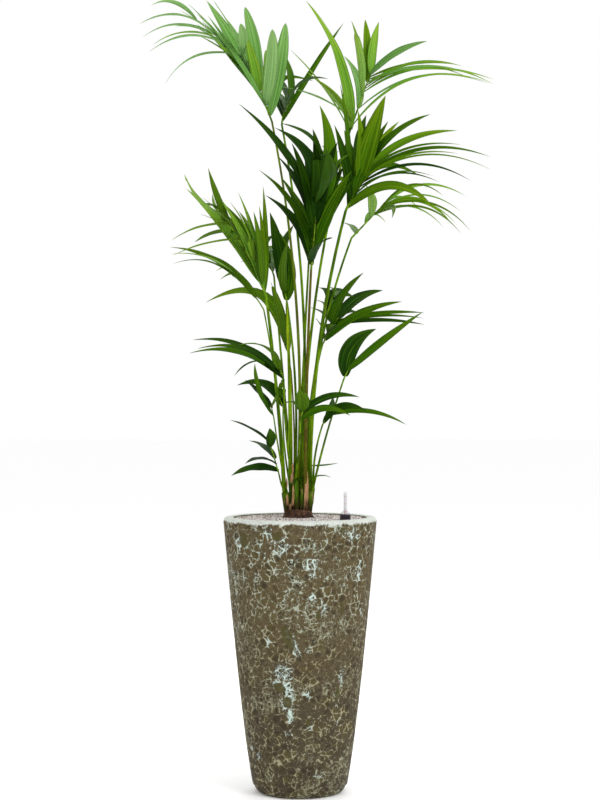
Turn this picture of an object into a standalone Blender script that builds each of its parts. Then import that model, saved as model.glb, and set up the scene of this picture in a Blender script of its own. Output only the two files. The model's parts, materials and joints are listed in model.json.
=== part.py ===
"""A kentia palm in its tall crackle-glazed planter, as one named solid for each sub-part.

Metres, +Z up. The origin is the centre of the planter's flat underside, +X is to the right of the
palm's front and -Y is its front. The palm is a clump of seedlings: short canes rise from a fibrous
root mound, each cane carries leaf stalks, and each stalk carries one frond.
"""

import math
from dataclasses import dataclass

import bmesh
import bpy
from mathutils import Quaternion, Vector
from mathutils.bvhtree import BVHTree

# Clearance between neighbouring pieces.
GAP = 0.0003

# Planter: a tall tapering vase with a rounded rim and a rounded lower edge.
POT_HEIGHT = 0.6585
POT_RIM_RADIUS = 0.185
POT_BASE_RADIUS = 0.108
POT_BARREL = 0.75
POT_FOOT_RADIUS = 0.090
POT_FOOT_ROUNDING = 0.020
POT_RIM_WIDTH = 0.029
POT_RIM_ROUNDING = 0.010
POT_WALL = 0.024
POT_FLOOR = 0.030
POT_SEGMENTS = 52
POT_SIDE_STEPS = 7

# What fills the planter: growing substrate under a layer of fine gravel.
GRAVEL_TOP = 0.654
GRAVEL_DEPTH = 0.030

# Root mound of brown fibre that the canes stand on.
MOUND_CENTRE = Vector((-0.004, 0.027))
MOUND_HALF_WIDTH = 0.040
MOUND_HALF_DEPTH = 0.032
MOUND_TOP_SHARE = 0.88
MOUND_HEIGHT = 0.018
MOUND_SIDES = 24
MOUND_RIPPLES = (0.04, 0.05, 0.02)

# Water gauge: a dark sleeve in the gravel, with a clear tube and a red float.
GAUGE_X = 0.107
GAUGE_Y = -0.075
GAUGE_SLEEVE_RADIUS = 0.01225
GAUGE_SLEEVE_HEIGHT = 0.015
GAUGE_SLEEVE_SUNK = 0.012
GAUGE_SHOULDER_HEIGHT = 0.008
GAUGE_TUBE_RADIUS = 0.004
GAUGE_TUBE_BORE = 0.0031
GAUGE_TUBE_HEIGHT = 0.053
GAUGE_FLOAT_RADIUS = 0.0025
GAUGE_FLOAT_HEIGHT = 0.009
GAUGE_EDGE = 0.001
GAUGE_SEGMENTS = 16

# Canes draw together on the mound by this share.
CANE_CONVERGE = 0.82
CANE_SIDES = 12
# Rings along a cane: each one's share of the way up, and its share of the full radius.
CANE_RINGS = ((0.0, 0.85), (0.12, 0.83), (0.55, 0.93), (1.0, 1.0))

# Stalks and ribs.
STALK_SIDES = 7
STALK_RINGS = 8
RIB_SIDES = 5
RIB_RINGS = 6
RIB_TIP_RADIUS = 0.0013

# Leaflets: the stations of the rings along a blade, and its section.
BLADE_RINGS = (0.0, 0.16, 0.45, 0.78)
BLADE_FACE = Vector((0.0, -0.8, 0.6))
BLADE_SLENDERNESS = 90
BLADE_LEAST_KEEL = 0.0021
BLADE_ROOT_KEEL = 1.15
BLADE_EDGE_RISE = 0.10
# Outline of a blade: its fullness, where its root starts, and how fast root and point narrow.
BLADE_FULLNESS = 2.15
BLADE_ROOT = 0.02
BLADE_ROOT_POWER = 0.55
BLADE_POINT_POWER = 0.62
# A blade that runs this nearly along its face's direction is laid level instead.
END_ON = 0.25
# A leaflet always goes back or forward by this share of its seen reach at least.
LEAST_HIDDEN = 0.2
# A leaflet that would touch another piece is swung this share of its depth instead.
SWINGS = (1.0, -1.0, 0.6, -0.6, 0.3, -0.3, 1.3, -1.3)
CLEARANCE = 0.0006

# The unopened spear leaf.
SPEAR_FOOT = (-0.0235, 0.033)
SPEAR_TIP = Vector((-0.034, 0.045, 1.186))
SPEAR_SWAY = 0.004
SPEAR_RADIUS = 0.0056
SPEAR_SIDES = 8
SPEAR_RINGS = ((0.0, 1.0), (0.2, 0.98), (0.4, 0.88), (0.6, 0.74), (0.8, 0.58), (0.94, 0.42))

RIGHT = 1
LEFT = -1
BACK = 1
FRONT = -1

# Base colours, as linear red, green and blue.
GLAZE = (0.135, 0.115, 0.075)
SUBSTRATE = (0.030, 0.020, 0.014)
GRAVEL = (0.420, 0.350, 0.310)
FIBRE = (0.045, 0.022, 0.012)
SLEEVE_BLACK = (0.018, 0.012, 0.020)
CLEAR = (0.800, 0.820, 0.800)
FLOAT_RED = (0.550, 0.050, 0.030)
CANE_TAN = (0.300, 0.260, 0.090)
STALK_GREEN = (0.130, 0.300, 0.020)
LIGHT_LEAF = (0.120, 0.330, 0.110)
MID_LEAF = (0.070, 0.210, 0.030)
DARK_LEAF = (0.020, 0.085, 0.015)


@dataclass
class Cane:
    """A short stem of wrapped leaf bases, from the mound up to its flat top."""

    name: str
    x: float
    y: float
    top: float
    radius: float


@dataclass
class Rank:
    """Leaflets along one side of a rib.

    at holds each root's share of the way along the rib. An angle is the leaflet's lean as seen from
    the front, in degrees up from +X, and a reach is its length as seen from there. length is its
    real length, first to last: the rest of it goes back or forward, by turns. bend is how far it
    curves down from root to tip and turn is how far its face is rolled from the front.
    """

    side: int
    first_goes: int
    at: tuple
    angles: tuple
    reaches: tuple
    length: tuple
    bend: tuple
    width: tuple
    turn: tuple


@dataclass
class Frond:
    """A stalk and the feathered blade that it carries."""

    name: str
    cane: str
    foot: tuple
    thick: tuple
    sway: tuple
    neck: Vector
    end: Vector
    bow: Vector
    colour: tuple
    ranks: tuple


CANES = (
    Cane("cane_left", -0.0355, 0.0225, 0.715, 0.0095),
    Cane("cane_left_back", -0.0195, 0.0385, 0.735, 0.0090),
    Cane("cane_middle", -0.0110, 0.0165, 0.745, 0.0082),
    Cane("cane_middle_back", 0.0045, 0.0360, 0.740, 0.0095),
    Cane("cane_front", 0.0085, 0.0155, 0.725, 0.0075),
    Cane("cane_right", 0.0262, 0.0238, 0.720, 0.0094),
)

FRONDS = (
    Frond(
        "top_left", "cane_middle", (-0.005, 0.020), (0.0080, 0.0048), (0.027, 0.0),
        Vector((-0.068, 0.050, 1.614)), Vector((-0.258, 0.100, 1.874)), Vector((0.019, 0.0, 0.016)),
        LIGHT_LEAF,
        (
            Rank(LEFT, BACK, (0.05, 0.13, 0.25, 0.38), (81, 82, 99, 119), (0.245, 0.145, 0.230, 0.165),
                 (0.26, 0.25), (8, 16), (0.034, 0.030), (25, 30)),
            Rank(LEFT, BACK, (0.18, 0.50), (88, 85), (0.150, 0.060),
                 (0.22, 0.20), (15, 15), (0.030, 0.028), (30, 30)),
            Rank(LEFT, FRONT, (0.60, 0.70, 0.80, 0.90, 0.98), (213, 179, 191, 170, 180),
                 (0.185, 0.195, 0.170, 0.175, 0.100), (0.24, 0.20), (60, 60), (0.024, 0.020), (62, 66)),
        ),
    ),
    Frond(
        "top_left_back", "cane_middle_back", (0.003, 0.030), (0.0080, 0.0050), (0.028, 0.0),
        Vector((-0.045, 0.150, 1.621)), Vector((-0.023, 0.200, 1.691)), Vector((-0.005, 0.0, 0.0)),
        LIGHT_LEAF,
        (
            Rank(RIGHT, BACK, (0.15, 0.50, 0.90), (59, 21, 54), (0.300, 0.115, 0.110),
                 (0.30, 0.24), (8, 110), (0.026, 0.024), (55, 55)),
            Rank(LEFT, BACK, (0.30, 0.60, 0.95), (118, 114, 97), (0.145, 0.100, 0.155),
                 (0.24, 0.22), (20, 20), (0.030, 0.030), (30, 30)),
        ),
    ),
    Frond(
        "top_right", "cane_front", (0.0045, 0.0190), (0.0080, 0.0052), (-0.028, 0.0),
        Vector((0.120, 0.120, 1.593)), Vector((0.174, 0.100, 1.744)), Vector((0.0, 0.0, 0.0)),
        LIGHT_LEAF,
        (
            Rank(LEFT, FRONT, (0.08, 0.42, 0.62, 0.84), (112, 99, 104, 90), (0.295, 0.180, 0.140, 0.185),
                 (0.36, 0.24), (36, 6), (0.034, 0.030), (15, 35)),
            Rank(RIGHT, BACK, (0.98, 0.95, 0.88, 0.78, 0.68, 0.12), (80, 19, 2, 6, 5, 16),
                 (0.165, 0.135, 0.315, 0.230, 0.330, 0.350), (0.24, 0.28), (10, 88), (0.030, 0.022),
                 (35, 62)),
            Rank(LEFT, BACK, (0.05, 0.18, 0.25), (129, 144, 155), (0.235, 0.125, 0.210),
                 (0.26, 0.26), (20, 30), (0.022, 0.018), (65, 65)),
        ),
    ),
    Frond(
        "centre_front", "cane_front", (0.0125, 0.0135), (0.0090, 0.0054), (-0.003, 0.0),
        Vector((0.026, -0.120, 1.243)), Vector((0.041, -0.220, 1.418)), Vector((0.0, 0.0, 0.0)),
        DARK_LEAF,
        (
            Rank(LEFT, BACK, (0.06, 0.14), (122, 122), (0.210, 0.230),
                 (0.25, 0.25), (45, 45), (0.030, 0.030), (35, 35)),
            Rank(LEFT, FRONT, (0.78, 0.88, 0.97), (128, 118, 122), (0.285, 0.215, 0.155),
                 (0.30, 0.24), (27, 90), (0.030, 0.034), (60, 20)),
            Rank(LEFT, BACK, (0.70, 0.86), (88, 79), (0.260, 0.090),
                 (0.26, 0.26), (50, 30), (0.034, 0.040), (15, 15)),
            Rank(RIGHT, FRONT, (0.10, 0.35, 0.93), (41, 58, 46), (0.060, 0.185, 0.095),
                 (0.20, 0.22), (30, 20), (0.034, 0.032), (20, 30)),
        ),
    ),
    Frond(
        "right_front", "cane_right", (0.0235, 0.020), (0.0110, 0.0066), (-0.022, 0.0),
        Vector((0.109, -0.030, 1.390)), Vector((0.156, -0.060, 1.486)), Vector((0.0, 0.0, 0.0)),
        DARK_LEAF,
        (
            Rank(LEFT, BACK, (0.10,), (94,), (0.285,),
                 (0.28, 0.28), (15, 15), (0.024, 0.024), (50, 50)),
            Rank(RIGHT, FRONT, (0.66, 0.76, 0.98, 0.92, 0.84), (73, 84, 36, 26, 7),
                 (0.195, 0.180, 0.175, 0.255, 0.300), (0.24, 0.28), (6, 64), (0.044, 0.026), (15, 45)),
            Rank(RIGHT, BACK, (0.72, 0.60, 0.45, 0.08), (6, 1, 20, 355), (0.320, 0.265, 0.175, 0.195),
                 (0.24, 0.25), (70, 95), (0.024, 0.026), (60, 50)),
        ),
    ),
    Frond(
        "right_back", "cane_right", (0.0205, 0.0300), (0.0076, 0.0050), (-0.031, 0.0),
        Vector((0.127, 0.120, 1.338)), Vector((0.212, 0.170, 1.430)), Vector((0.0, 0.0, 0.0)),
        LIGHT_LEAF,
        (
            Rank(RIGHT, BACK, (0.98, 0.88, 0.76, 0.64), (8, 342, 357, 344), (0.215, 0.225, 0.195, 0.215),
                 (0.24, 0.26), (75, 80), (0.024, 0.024), (50, 50)),
            Rank(RIGHT, FRONT, (0.95, 0.85, 0.70, 0.40), (2, 2, 315, 18), (0.140, 0.115, 0.045, 0.065),
                 (0.20, 0.20), (90, 60), (0.026, 0.026), (30, 30)),
            Rank(LEFT, BACK, (0.12, 0.60), (124, 110), (0.055, 0.060),
                 (0.20, 0.20), (20, 20), (0.028, 0.028), (20, 20)),
        ),
    ),
    Frond(
        "left_behind", "cane_left", (-0.0360, 0.0315), (0.0050, 0.0034), (0.009, 0.0),
        Vector((-0.087, 0.000, 1.155)), Vector((-0.164, 0.020, 1.240)), Vector((0.005, 0.0, 0.005)),
        MID_LEAF,
        (
            Rank(LEFT, FRONT, (0.30, 0.60, 0.72, 0.85, 0.95), (150, 157, 160, 152, 172),
                 (0.235, 0.080, 0.175, 0.070, 0.140), (0.24, 0.20), (52, 52), (0.026, 0.022), (45, 60)),
        ),
    ),
    Frond(
        "left_front", "cane_left", (-0.0375, 0.0235), (0.0100, 0.0060), (0.004, 0.0),
        Vector((-0.080, -0.080, 1.184)), Vector((-0.180, -0.130, 1.370)), Vector((0.007, 0.0, 0.005)),
        MID_LEAF,
        (
            Rank(LEFT, BACK, (0.05, 0.12, 0.20, 0.30, 0.40), (91, 96, 104, 111, 105),
                 (0.255, 0.160, 0.215, 0.155, 0.140), (0.22, 0.22), (6, 34), (0.030, 0.030), (40, 40)),
            Rank(LEFT, FRONT, (0.16, 0.24), (129, 115), (0.275, 0.195),
                 (0.27, 0.22), (20, 26), (0.036, 0.034), (20, 30)),
            Rank(RIGHT, FRONT, (0.86, 0.92, 0.98), (111, 117, 136), (0.120, 0.095, 0.115),
                 (0.22, 0.20), (8, 35), (0.028, 0.026), (45, 45)),
            Rank(LEFT, BACK, (0.97, 0.88, 0.78, 0.68), (144, 203, 186, 198), (0.085, 0.135, 0.105, 0.155),
                 (0.22, 0.20), (28, 20), (0.022, 0.022), (62, 62)),
        ),
    ),
    Frond(
        "left_back", "cane_left_back", (-0.0140, 0.0320), (0.0070, 0.0046), (0.012, 0.0),
        Vector((-0.031, 0.080, 1.173)), Vector((-0.057, 0.120, 1.254)), Vector((0.002, 0.0, 0.005)),
        DARK_LEAF,
        (
            Rank(LEFT, FRONT, (0.10, 0.50), (99, 100), (0.195, 0.195),
                 (0.24, 0.22), (29, 10), (0.038, 0.034), (10, 20)),
            Rank(RIGHT, BACK, (0.90, 0.30), (75, 84), (0.145, 0.120),
                 (0.24, 0.22), (20, 20), (0.030, 0.030), (30, 30)),
        ),
    ),
    Frond(
        "middle_right", "cane_middle_back", (0.0118, 0.0340), (0.0060, 0.0040), (-0.011, 0.000),
        Vector((0.055, 0.060, 1.074)), Vector((0.094, 0.090, 1.141)), Vector((0.0, 0.0, 0.0)),
        MID_LEAF,
        (
            Rank(RIGHT, FRONT, (0.40, 0.92, 0.15), (60, 34, 26), (0.160, 0.145, 0.205),
                 (0.22, 0.22), (33, 41), (0.032, 0.030), (25, 35)),
            Rank(RIGHT, BACK, (0.98, 0.85, 0.75, 0.05), (23, 5, 0, 37), (0.060, 0.215, 0.225, 0.050),
                 (0.22, 0.22), (20, 25), (0.026, 0.022), (50, 60)),
            Rank(LEFT, BACK, (0.20, 0.70), (118, 138), (0.055, 0.080),
                 (0.20, 0.20), (20, 20), (0.030, 0.030), (25, 25)),
        ),
    ),
    Frond(
        "low_right_pair", "cane_right", (0.030, 0.0135), (0.0060, 0.0040), (-0.004, 0.0),
        Vector((0.104, -0.070, 0.989)), Vector((0.116, -0.080, 1.014)), Vector((0.0, 0.0, 0.0)),
        MID_LEAF,
        (
            Rank(RIGHT, BACK, (0.20, 0.80), (56, 38), (0.140, 0.215),
                 (0.17, 0.25), (71, 8), (0.042, 0.022), (10, 30)),
        ),
    ),
    Frond(
        "middle_left", "cane_middle", (-0.0185, 0.015), (0.0060, 0.0042), (-0.005, 0.0),
        Vector((-0.038, -0.100, 0.985)), Vector((-0.047, -0.120, 1.011)), Vector((0.0, 0.0, 0.0)),
        MID_LEAF,
        (
            Rank(LEFT, BACK, (0.15, 0.30, 0.90, 0.95), (165, 158, 186, 150), (0.235, 0.225, 0.115, 0.105),
                 (0.25, 0.20), (60, 60), (0.028, 0.030), (20, 30)),
        ),
    ),
    Frond(
        "low_left_small", "cane_left", (-0.0310, 0.0175), (0.0050, 0.0032), (-0.002, 0.0),
        Vector((-0.062, -0.060, 0.896)), Vector((-0.068, -0.060, 0.924)), Vector((0.0, 0.0, 0.0)),
        MID_LEAF,
        (
            Rank(RIGHT, FRONT, (0.20,), (109,), (0.130,),
                 (0.15, 0.15), (37, 37), (0.026, 0.026), (30, 30)),
            Rank(LEFT, BACK, (0.85, 0.95), (134, 65), (0.095, 0.030),
                 (0.13, 0.11), (12, 12), (0.024, 0.024), (30, 30)),
        ),
    ),
    Frond(
        "middle_left_back", "cane_left_back", (-0.025, 0.0425), (0.0050, 0.0034), (-0.005, 0.0),
        Vector((-0.041, 0.050, 0.919)), Vector((-0.051, 0.060, 0.946)), Vector((0.0, 0.0, 0.0)),
        DARK_LEAF,
        (
            Rank(LEFT, BACK, (0.15, 0.90), (156, 84), (0.125, 0.045),
                 (0.15, 0.13), (95, 20), (0.036, 0.026), (15, 30)),
        ),
    ),
    Frond(
        "lowest_left", "cane_left", (-0.0360, 0.0135), (0.0050, 0.0036), (-0.002, 0.0),
        Vector((-0.050, -0.050, 0.763)), Vector((-0.073, -0.100, 0.845)), Vector((0.0, 0.0, 0.0)),
        DARK_LEAF,
        (
            Rank(LEFT, BACK, (0.08, 0.30, 0.45, 0.92), (187, 177, 148, 149), (0.115, 0.070, 0.075, 0.105),
                 (0.13, 0.14), (49, 20), (0.028, 0.026), (30, 40)),
            Rank(LEFT, FRONT, (0.80,), (92,), (0.045,),
                 (0.10, 0.10), (10, 10), (0.030, 0.030), (15, 15)),
        ),
    ),
    Frond(
        "low_right", "cane_right", (0.0330, 0.0225), (0.0060, 0.0040), (-0.008, 0.0),
        Vector((0.054, -0.040, 0.880)), Vector((0.067, -0.050, 0.905)), Vector((0.0, 0.0, 0.0)),
        DARK_LEAF,
        (
            Rank(RIGHT, FRONT, (0.15, 0.90), (15, 353), (0.105, 0.185),
                 (0.14, 0.20), (90, 50), (0.026, 0.022), (30, 50)),
            Rank(LEFT, BACK, (0.60,), (71,), (0.055,),
                 (0.12, 0.12), (20, 20), (0.028, 0.028), (25, 25)),
        ),
    ),
    Frond(
        "low_front", "cane_middle", (-0.011, 0.0125), (0.0060, 0.0042), (0.002, 0.0),
        Vector((0.001, -0.100, 0.888)), Vector((0.007, -0.120, 0.915)), Vector((0.0, 0.0, 0.0)),
        MID_LEAF,
        (
            Rank(RIGHT, FRONT, (0.15, 0.85), (5, 14), (0.115, 0.140),
                 (0.14, 0.15), (74, 62), (0.026, 0.026), (35, 35)),
            Rank(LEFT, FRONT, (0.90, 0.60), (101, 157), (0.055, 0.055),
                 (0.12, 0.12), (20, 70), (0.034, 0.026), (5, 30)),
        ),
    ),
    Frond(
        "middle_back", "cane_left_back", (-0.0150, 0.0395), (0.0050, 0.0036), (0.004, 0.0),
        Vector((-0.022, 0.100, 1.010)), Vector((-0.037, 0.140, 1.092)), Vector((0.0, 0.0, 0.0)),
        DARK_LEAF,
        (
            Rank(LEFT, BACK, (0.95, 0.80), (154, 104), (0.231, 0.150),
                 (0.30, 0.22), (117, 10), (0.028, 0.030), (25, 30)),
            Rank(RIGHT, BACK, (0.60,), (89,), (0.115,),
                 (0.20, 0.20), (10, 10), (0.030, 0.030), (30, 30)),
        ),
    ),
    Frond(
        "back_left", "cane_left_back", (-0.0185, 0.0465), (0.0070, 0.0046), (0.000, 0.0),
        Vector((-0.065, 0.180, 1.248)), Vector((-0.095, 0.330, 1.305)), Vector((0.0, 0.0, 0.010)),
        MID_LEAF,
        (
            Rank(LEFT, BACK, (0.15, 0.45, 0.75, 1.00), (156, 155, 122, 133), (0.095, 0.065, 0.085, 0.025),
                 (0.24, 0.20), (40, 40), (0.030, 0.028), (30, 30)),
            Rank(RIGHT, BACK, (0.15, 0.45, 0.75), (62, 48, 77), (0.080, 0.055, 0.080),
                 (0.24, 0.20), (40, 40), (0.030, 0.028), (30, 30)),
        ),
    ),
    Frond(
        "back_centre", "cane_middle_back", (-0.0035, 0.038), (0.0070, 0.0046), (-0.002, 0.0),
        Vector((0.030, 0.160, 1.424)), Vector((0.057, 0.320, 1.525)), Vector((0.0, 0.0, 0.010)),
        MID_LEAF,
        (
            Rank(LEFT, BACK, (0.15, 0.45, 0.75, 1.00), (114, 119, 99, 94), (0.110, 0.065, 0.120, 0.040),
                 (0.26, 0.22), (40, 40), (0.030, 0.028), (30, 30)),
            Rank(RIGHT, BACK, (0.15, 0.45, 0.75), (35, 19, 60), (0.125, 0.075, 0.105),
                 (0.26, 0.22), (40, 40), (0.030, 0.028), (30, 30)),
        ),
    ),
    Frond(
        "back_right", "cane_middle_back", (0.008, 0.0395), (0.0070, 0.0046), (-0.006, 0.0),
        Vector((0.058, 0.190, 1.134)), Vector((0.088, 0.330, 1.189)), Vector((0.0, 0.0, 0.010)),
        MID_LEAF,
        (
            Rank(LEFT, BACK, (0.15, 0.50, 0.85), (117, 126, 103), (0.060, 0.050, 0.060),
                 (0.22, 0.20), (40, 40), (0.030, 0.028), (30, 30)),
            Rank(RIGHT, BACK, (0.15, 0.50, 0.85), (20, 17, 50), (0.080, 0.060, 0.060),
                 (0.22, 0.20), (40, 40), (0.030, 0.028), (30, 30)),
        ),
    ),
)


def finish(name, colour, roughness, alpha=1.0):
    """A plain Principled material."""
    material = bpy.data.materials.get(name) or bpy.data.materials.new(name)
    material.use_nodes = True
    shader = material.node_tree.nodes["Principled BSDF"]
    shader.inputs["Base Color"].default_value = (*colour, 1.0)
    shader.inputs["Roughness"].default_value = roughness
    shader.inputs["Metallic"].default_value = 0.0
    shader.inputs["Alpha"].default_value = alpha
    return material


def add_object(name, mesh, material):
    """Puts a mesh in the scene under the sub-part's name."""
    obj = bpy.data.objects.new(name, mesh)
    mesh.materials.append(material)
    bpy.context.scene.collection.objects.link(obj)
    return obj


def mesh_from_faces(name, verts, faces):
    """A closed mesh with its faces turned outwards."""
    bm = bmesh.new()
    points = [bm.verts.new(v) for v in verts]
    for face in faces:
        bm.faces.new([points[i] for i in face])
    bmesh.ops.recalc_face_normals(bm, faces=bm.faces)
    mesh = bpy.data.meshes.new(name)
    bm.to_mesh(mesh)
    bm.free()
    return mesh


def turned(name, profile, segments, material, centre=(0.0, 0.0), smooth_under=math.radians(35)):
    """A piece turned about a vertical axis from (radius, height) points that start and end on it."""
    bm = bmesh.new()
    chain = [bm.verts.new((radius, 0.0, height)) for radius, height in profile]
    edges = [bm.edges.new(pair) for pair in zip(chain, chain[1:])]
    bmesh.ops.spin(
        bm, geom=chain + edges, cent=(0, 0, 0), axis=(0, 0, 1), angle=math.tau, steps=segments,
        use_merge=True,
    )
    bmesh.ops.remove_doubles(bm, verts=bm.verts, dist=1e-6)
    bmesh.ops.recalc_face_normals(bm, faces=bm.faces)
    bmesh.ops.translate(bm, verts=bm.verts, vec=(*centre, 0.0))
    mesh = bpy.data.meshes.new(name)
    bm.to_mesh(mesh)
    bm.free()
    mesh.shade_smooth()
    mesh.set_sharp_from_angle(angle=smooth_under)
    return add_object(name, mesh, material)


def quarter_round(centre_r, centre_z, radius, start, steps=3):
    """Points on a quarter circle, from the start angle in degrees, turning anticlockwise."""
    points = []
    for i in range(steps + 1):
        angle = math.radians(start + 90 * i / steps)
        points.append((centre_r + radius * math.cos(angle), centre_z + radius * math.sin(angle)))
    return points


def pot_radius(height):
    """Outer radius of the planter at a height: slim at the base, fuller towards the rim."""
    rise = (height / POT_HEIGHT) ** POT_BARREL
    return POT_BASE_RADIUS + (POT_RIM_RADIUS - POT_BASE_RADIUS) * rise


def pot_bore(height):
    """Inner radius of the planter at a height: a straight cone from the floor up to the lip."""
    lip = POT_HEIGHT - POT_RIM_ROUNDING
    narrow = pot_radius(POT_FLOOR) - POT_WALL
    wide = pot_radius(lip) - POT_RIM_WIDTH
    return narrow + (wide - narrow) * (height - POT_FLOOR) / (lip - POT_FLOOR)


def fill_profile(low, high):
    """Profile of what fills the planter between two heights, clear of its wall."""
    return [(0.0, low), (pot_bore(low) - 2 * GAP, low), (pot_bore(high) - 2 * GAP, high), (0.0, high)]


def make_planter():
    """The glazed planter, with a thick rounded rim and a solid floor."""
    foot_edge = POT_FOOT_RADIUS + POT_FOOT_ROUNDING
    lip = POT_HEIGHT - POT_RIM_ROUNDING
    rounding = quarter_round(POT_FOOT_RADIUS, POT_FOOT_ROUNDING, POT_FOOT_ROUNDING, -90)[:-1]
    side = [POT_FOOT_ROUNDING + (lip - POT_FOOT_ROUNDING) * i / POT_SIDE_STEPS
            for i in range(POT_SIDE_STEPS + 1)]
    outside = [(max(pot_radius(z), foot_edge), z) for z in side]
    rim_out = quarter_round(pot_radius(lip) - POT_RIM_ROUNDING, lip, POT_RIM_ROUNDING, 0)[1:]
    rim_in = quarter_round(pot_bore(lip) + POT_RIM_ROUNDING, lip, POT_RIM_ROUNDING, 90)
    floor = [(pot_bore(POT_FLOOR), POT_FLOOR), (0.0, POT_FLOOR)]
    profile = [(0.0, 0.0)] + rounding + outside + rim_out + rim_in + floor
    turned("planter", profile, POT_SEGMENTS, finish("crackle_glaze", GLAZE, 0.45))


def make_fill():
    """Substrate and gravel inside the planter, with a pocket in the gravel for the gauge."""
    gravel_bottom = GRAVEL_TOP - GRAVEL_DEPTH
    turned(
        "growing_substrate", fill_profile(POT_FLOOR + GAP, gravel_bottom - GAP), POT_SEGMENTS,
        finish("substrate", SUBSTRATE, 0.95),
    )
    gravel = turned(
        "gravel_layer", fill_profile(gravel_bottom, GRAVEL_TOP), POT_SEGMENTS,
        finish("gravel", GRAVEL, 0.90),
    )
    pocket_radius = GAUGE_SLEEVE_RADIUS + 2 * GAP
    pocket_floor = GRAVEL_TOP - GAUGE_SLEEVE_SUNK
    pocket = turned(
        "gauge_pocket_cutter",
        [(0.0, pocket_floor), (pocket_radius, pocket_floor), (pocket_radius, GRAVEL_TOP + 0.01),
         (0.0, GRAVEL_TOP + 0.01)],
        GAUGE_SEGMENTS, finish("gravel", GRAVEL, 0.90), (GAUGE_X, GAUGE_Y),
    )
    pocket.hide_render = True
    pocket.display_type = "WIRE"
    cut = gravel.modifiers.new("gauge_pocket", "BOOLEAN")
    cut.operation = "DIFFERENCE"
    cut.object = pocket


def make_gauge():
    """The water gauge: sleeve, clear tube with a sloped shoulder, and float."""
    centre = (GAUGE_X, GAUGE_Y)
    low = GRAVEL_TOP - GAUGE_SLEEVE_SUNK + GAP
    high = GRAVEL_TOP + GAUGE_SLEEVE_HEIGHT
    turned(
        "gauge_sleeve",
        [(0.0, low), (GAUGE_SLEEVE_RADIUS, low), (GAUGE_SLEEVE_RADIUS, high - GAUGE_EDGE),
         (GAUGE_SLEEVE_RADIUS - GAUGE_EDGE, high), (0.0, high)],
        GAUGE_SEGMENTS, finish("gauge_black", SLEEVE_BLACK, 0.40), centre,
    )
    foot = high + GAP
    shoulder = foot + GAUGE_SHOULDER_HEIGHT
    top = foot + GAUGE_TUBE_HEIGHT
    dome = quarter_round(0.0, top - GAUGE_TUBE_RADIUS, GAUGE_TUBE_RADIUS, 0)
    ceiling = top - GAUGE_TUBE_RADIUS
    turned(
        "gauge_tube",
        [(GAUGE_TUBE_BORE, foot), (GAUGE_SLEEVE_RADIUS - GAUGE_EDGE, foot),
         (GAUGE_TUBE_RADIUS + GAUGE_EDGE, shoulder), (GAUGE_TUBE_RADIUS, shoulder + GAUGE_EDGE)]
        + dome[:-1] + [(0.0, top), (0.0, ceiling), (GAUGE_TUBE_BORE, ceiling - GAUGE_EDGE),
                       (GAUGE_TUBE_BORE, foot)],
        GAUGE_SEGMENTS, finish("gauge_clear", CLEAR, 0.10, 0.45), centre,
    )
    float_top = foot + GAUGE_FLOAT_HEIGHT
    turned(
        "gauge_float",
        [(0.0, foot), (GAUGE_FLOAT_RADIUS, foot), (GAUGE_FLOAT_RADIUS, float_top - GAUGE_EDGE),
         (GAUGE_FLOAT_RADIUS - GAUGE_EDGE, float_top), (0.0, float_top)],
        GAUGE_SEGMENTS, finish("float_red", FLOAT_RED, 0.40), centre,
    )


def mound_ring(share, height, ripple):
    """A lumpy oval ring of the root mound."""
    ring = []
    for i in range(MOUND_SIDES):
        angle = math.tau * i / MOUND_SIDES
        swell = 1.0 + ripple * (math.sin(3 * angle) + 0.6 * math.sin(7 * angle + 1))
        ring.append((
            MOUND_CENTRE.x + MOUND_HALF_WIDTH * share * swell * math.cos(angle),
            MOUND_CENTRE.y + MOUND_HALF_DEPTH * share * swell * math.sin(angle),
            height,
        ))
    return ring


def make_mound():
    """The fibrous mound: flat on the gravel, flat where the canes stand, with a lumpy flank."""
    low = GRAVEL_TOP + GAP
    shares = (1.0, (1.0 + MOUND_TOP_SHARE) / 2, MOUND_TOP_SHARE)
    rings = [mound_ring(share, low + MOUND_HEIGHT * i / 2, ripple)
             for i, (share, ripple) in enumerate(zip(shares, MOUND_RIPPLES))]
    verts = [point for ring in rings for point in ring]
    faces = [tuple(range(MOUND_SIDES)), tuple(range(2 * MOUND_SIDES, 3 * MOUND_SIDES))]
    faces += ring_faces(len(rings), MOUND_SIDES)
    mesh = mesh_from_faces("root_mound", verts, faces)
    add_object("root_mound", mesh, finish("root_fibre", FIBRE, 0.95))


def ring_faces(rings, sides):
    """Quads that join consecutive rings of points."""
    faces = []
    for ring in range(rings - 1):
        for i in range(sides):
            a = ring * sides + i
            b = ring * sides + (i + 1) % sides
            faces.append((a, b, b + sides, a + sides))
    return faces


def arc_point(start, end, rise, share):
    """A point on the shallow arc from start to end that stands rise clear of the straight line."""
    return start.lerp(end, share) + rise * (4 * share * (1 - share))


def arc_direction(start, end, rise, share):
    """Direction of that arc at a share of its way."""
    return (end - start + rise * (4 - 8 * share)).normalized()


def tube(path, directions, radii, sides, tip=None):
    """Vertices and faces of a tapering tube. Each ring is square to its direction."""
    verts = []
    across = Vector((1.0, 0.0, 0.0))
    for point, direction, radius in zip(path, directions, radii):
        across = (across - direction * across.dot(direction)).normalized()
        beside = direction.cross(across)
        for i in range(sides):
            angle = math.tau * i / sides
            verts.append(point + (across * math.cos(angle) + beside * math.sin(angle)) * radius)
    rings = len(path)
    faces = ring_faces(rings, sides)
    faces.append(tuple(range(sides)))
    last = (rings - 1) * sides
    if tip is None:
        faces.append(tuple(range(last, last + sides)))
    else:
        verts.append(tip)
        faces += [(last + i, last + (i + 1) % sides, len(verts) - 1) for i in range(sides)]
    return verts, faces


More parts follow.
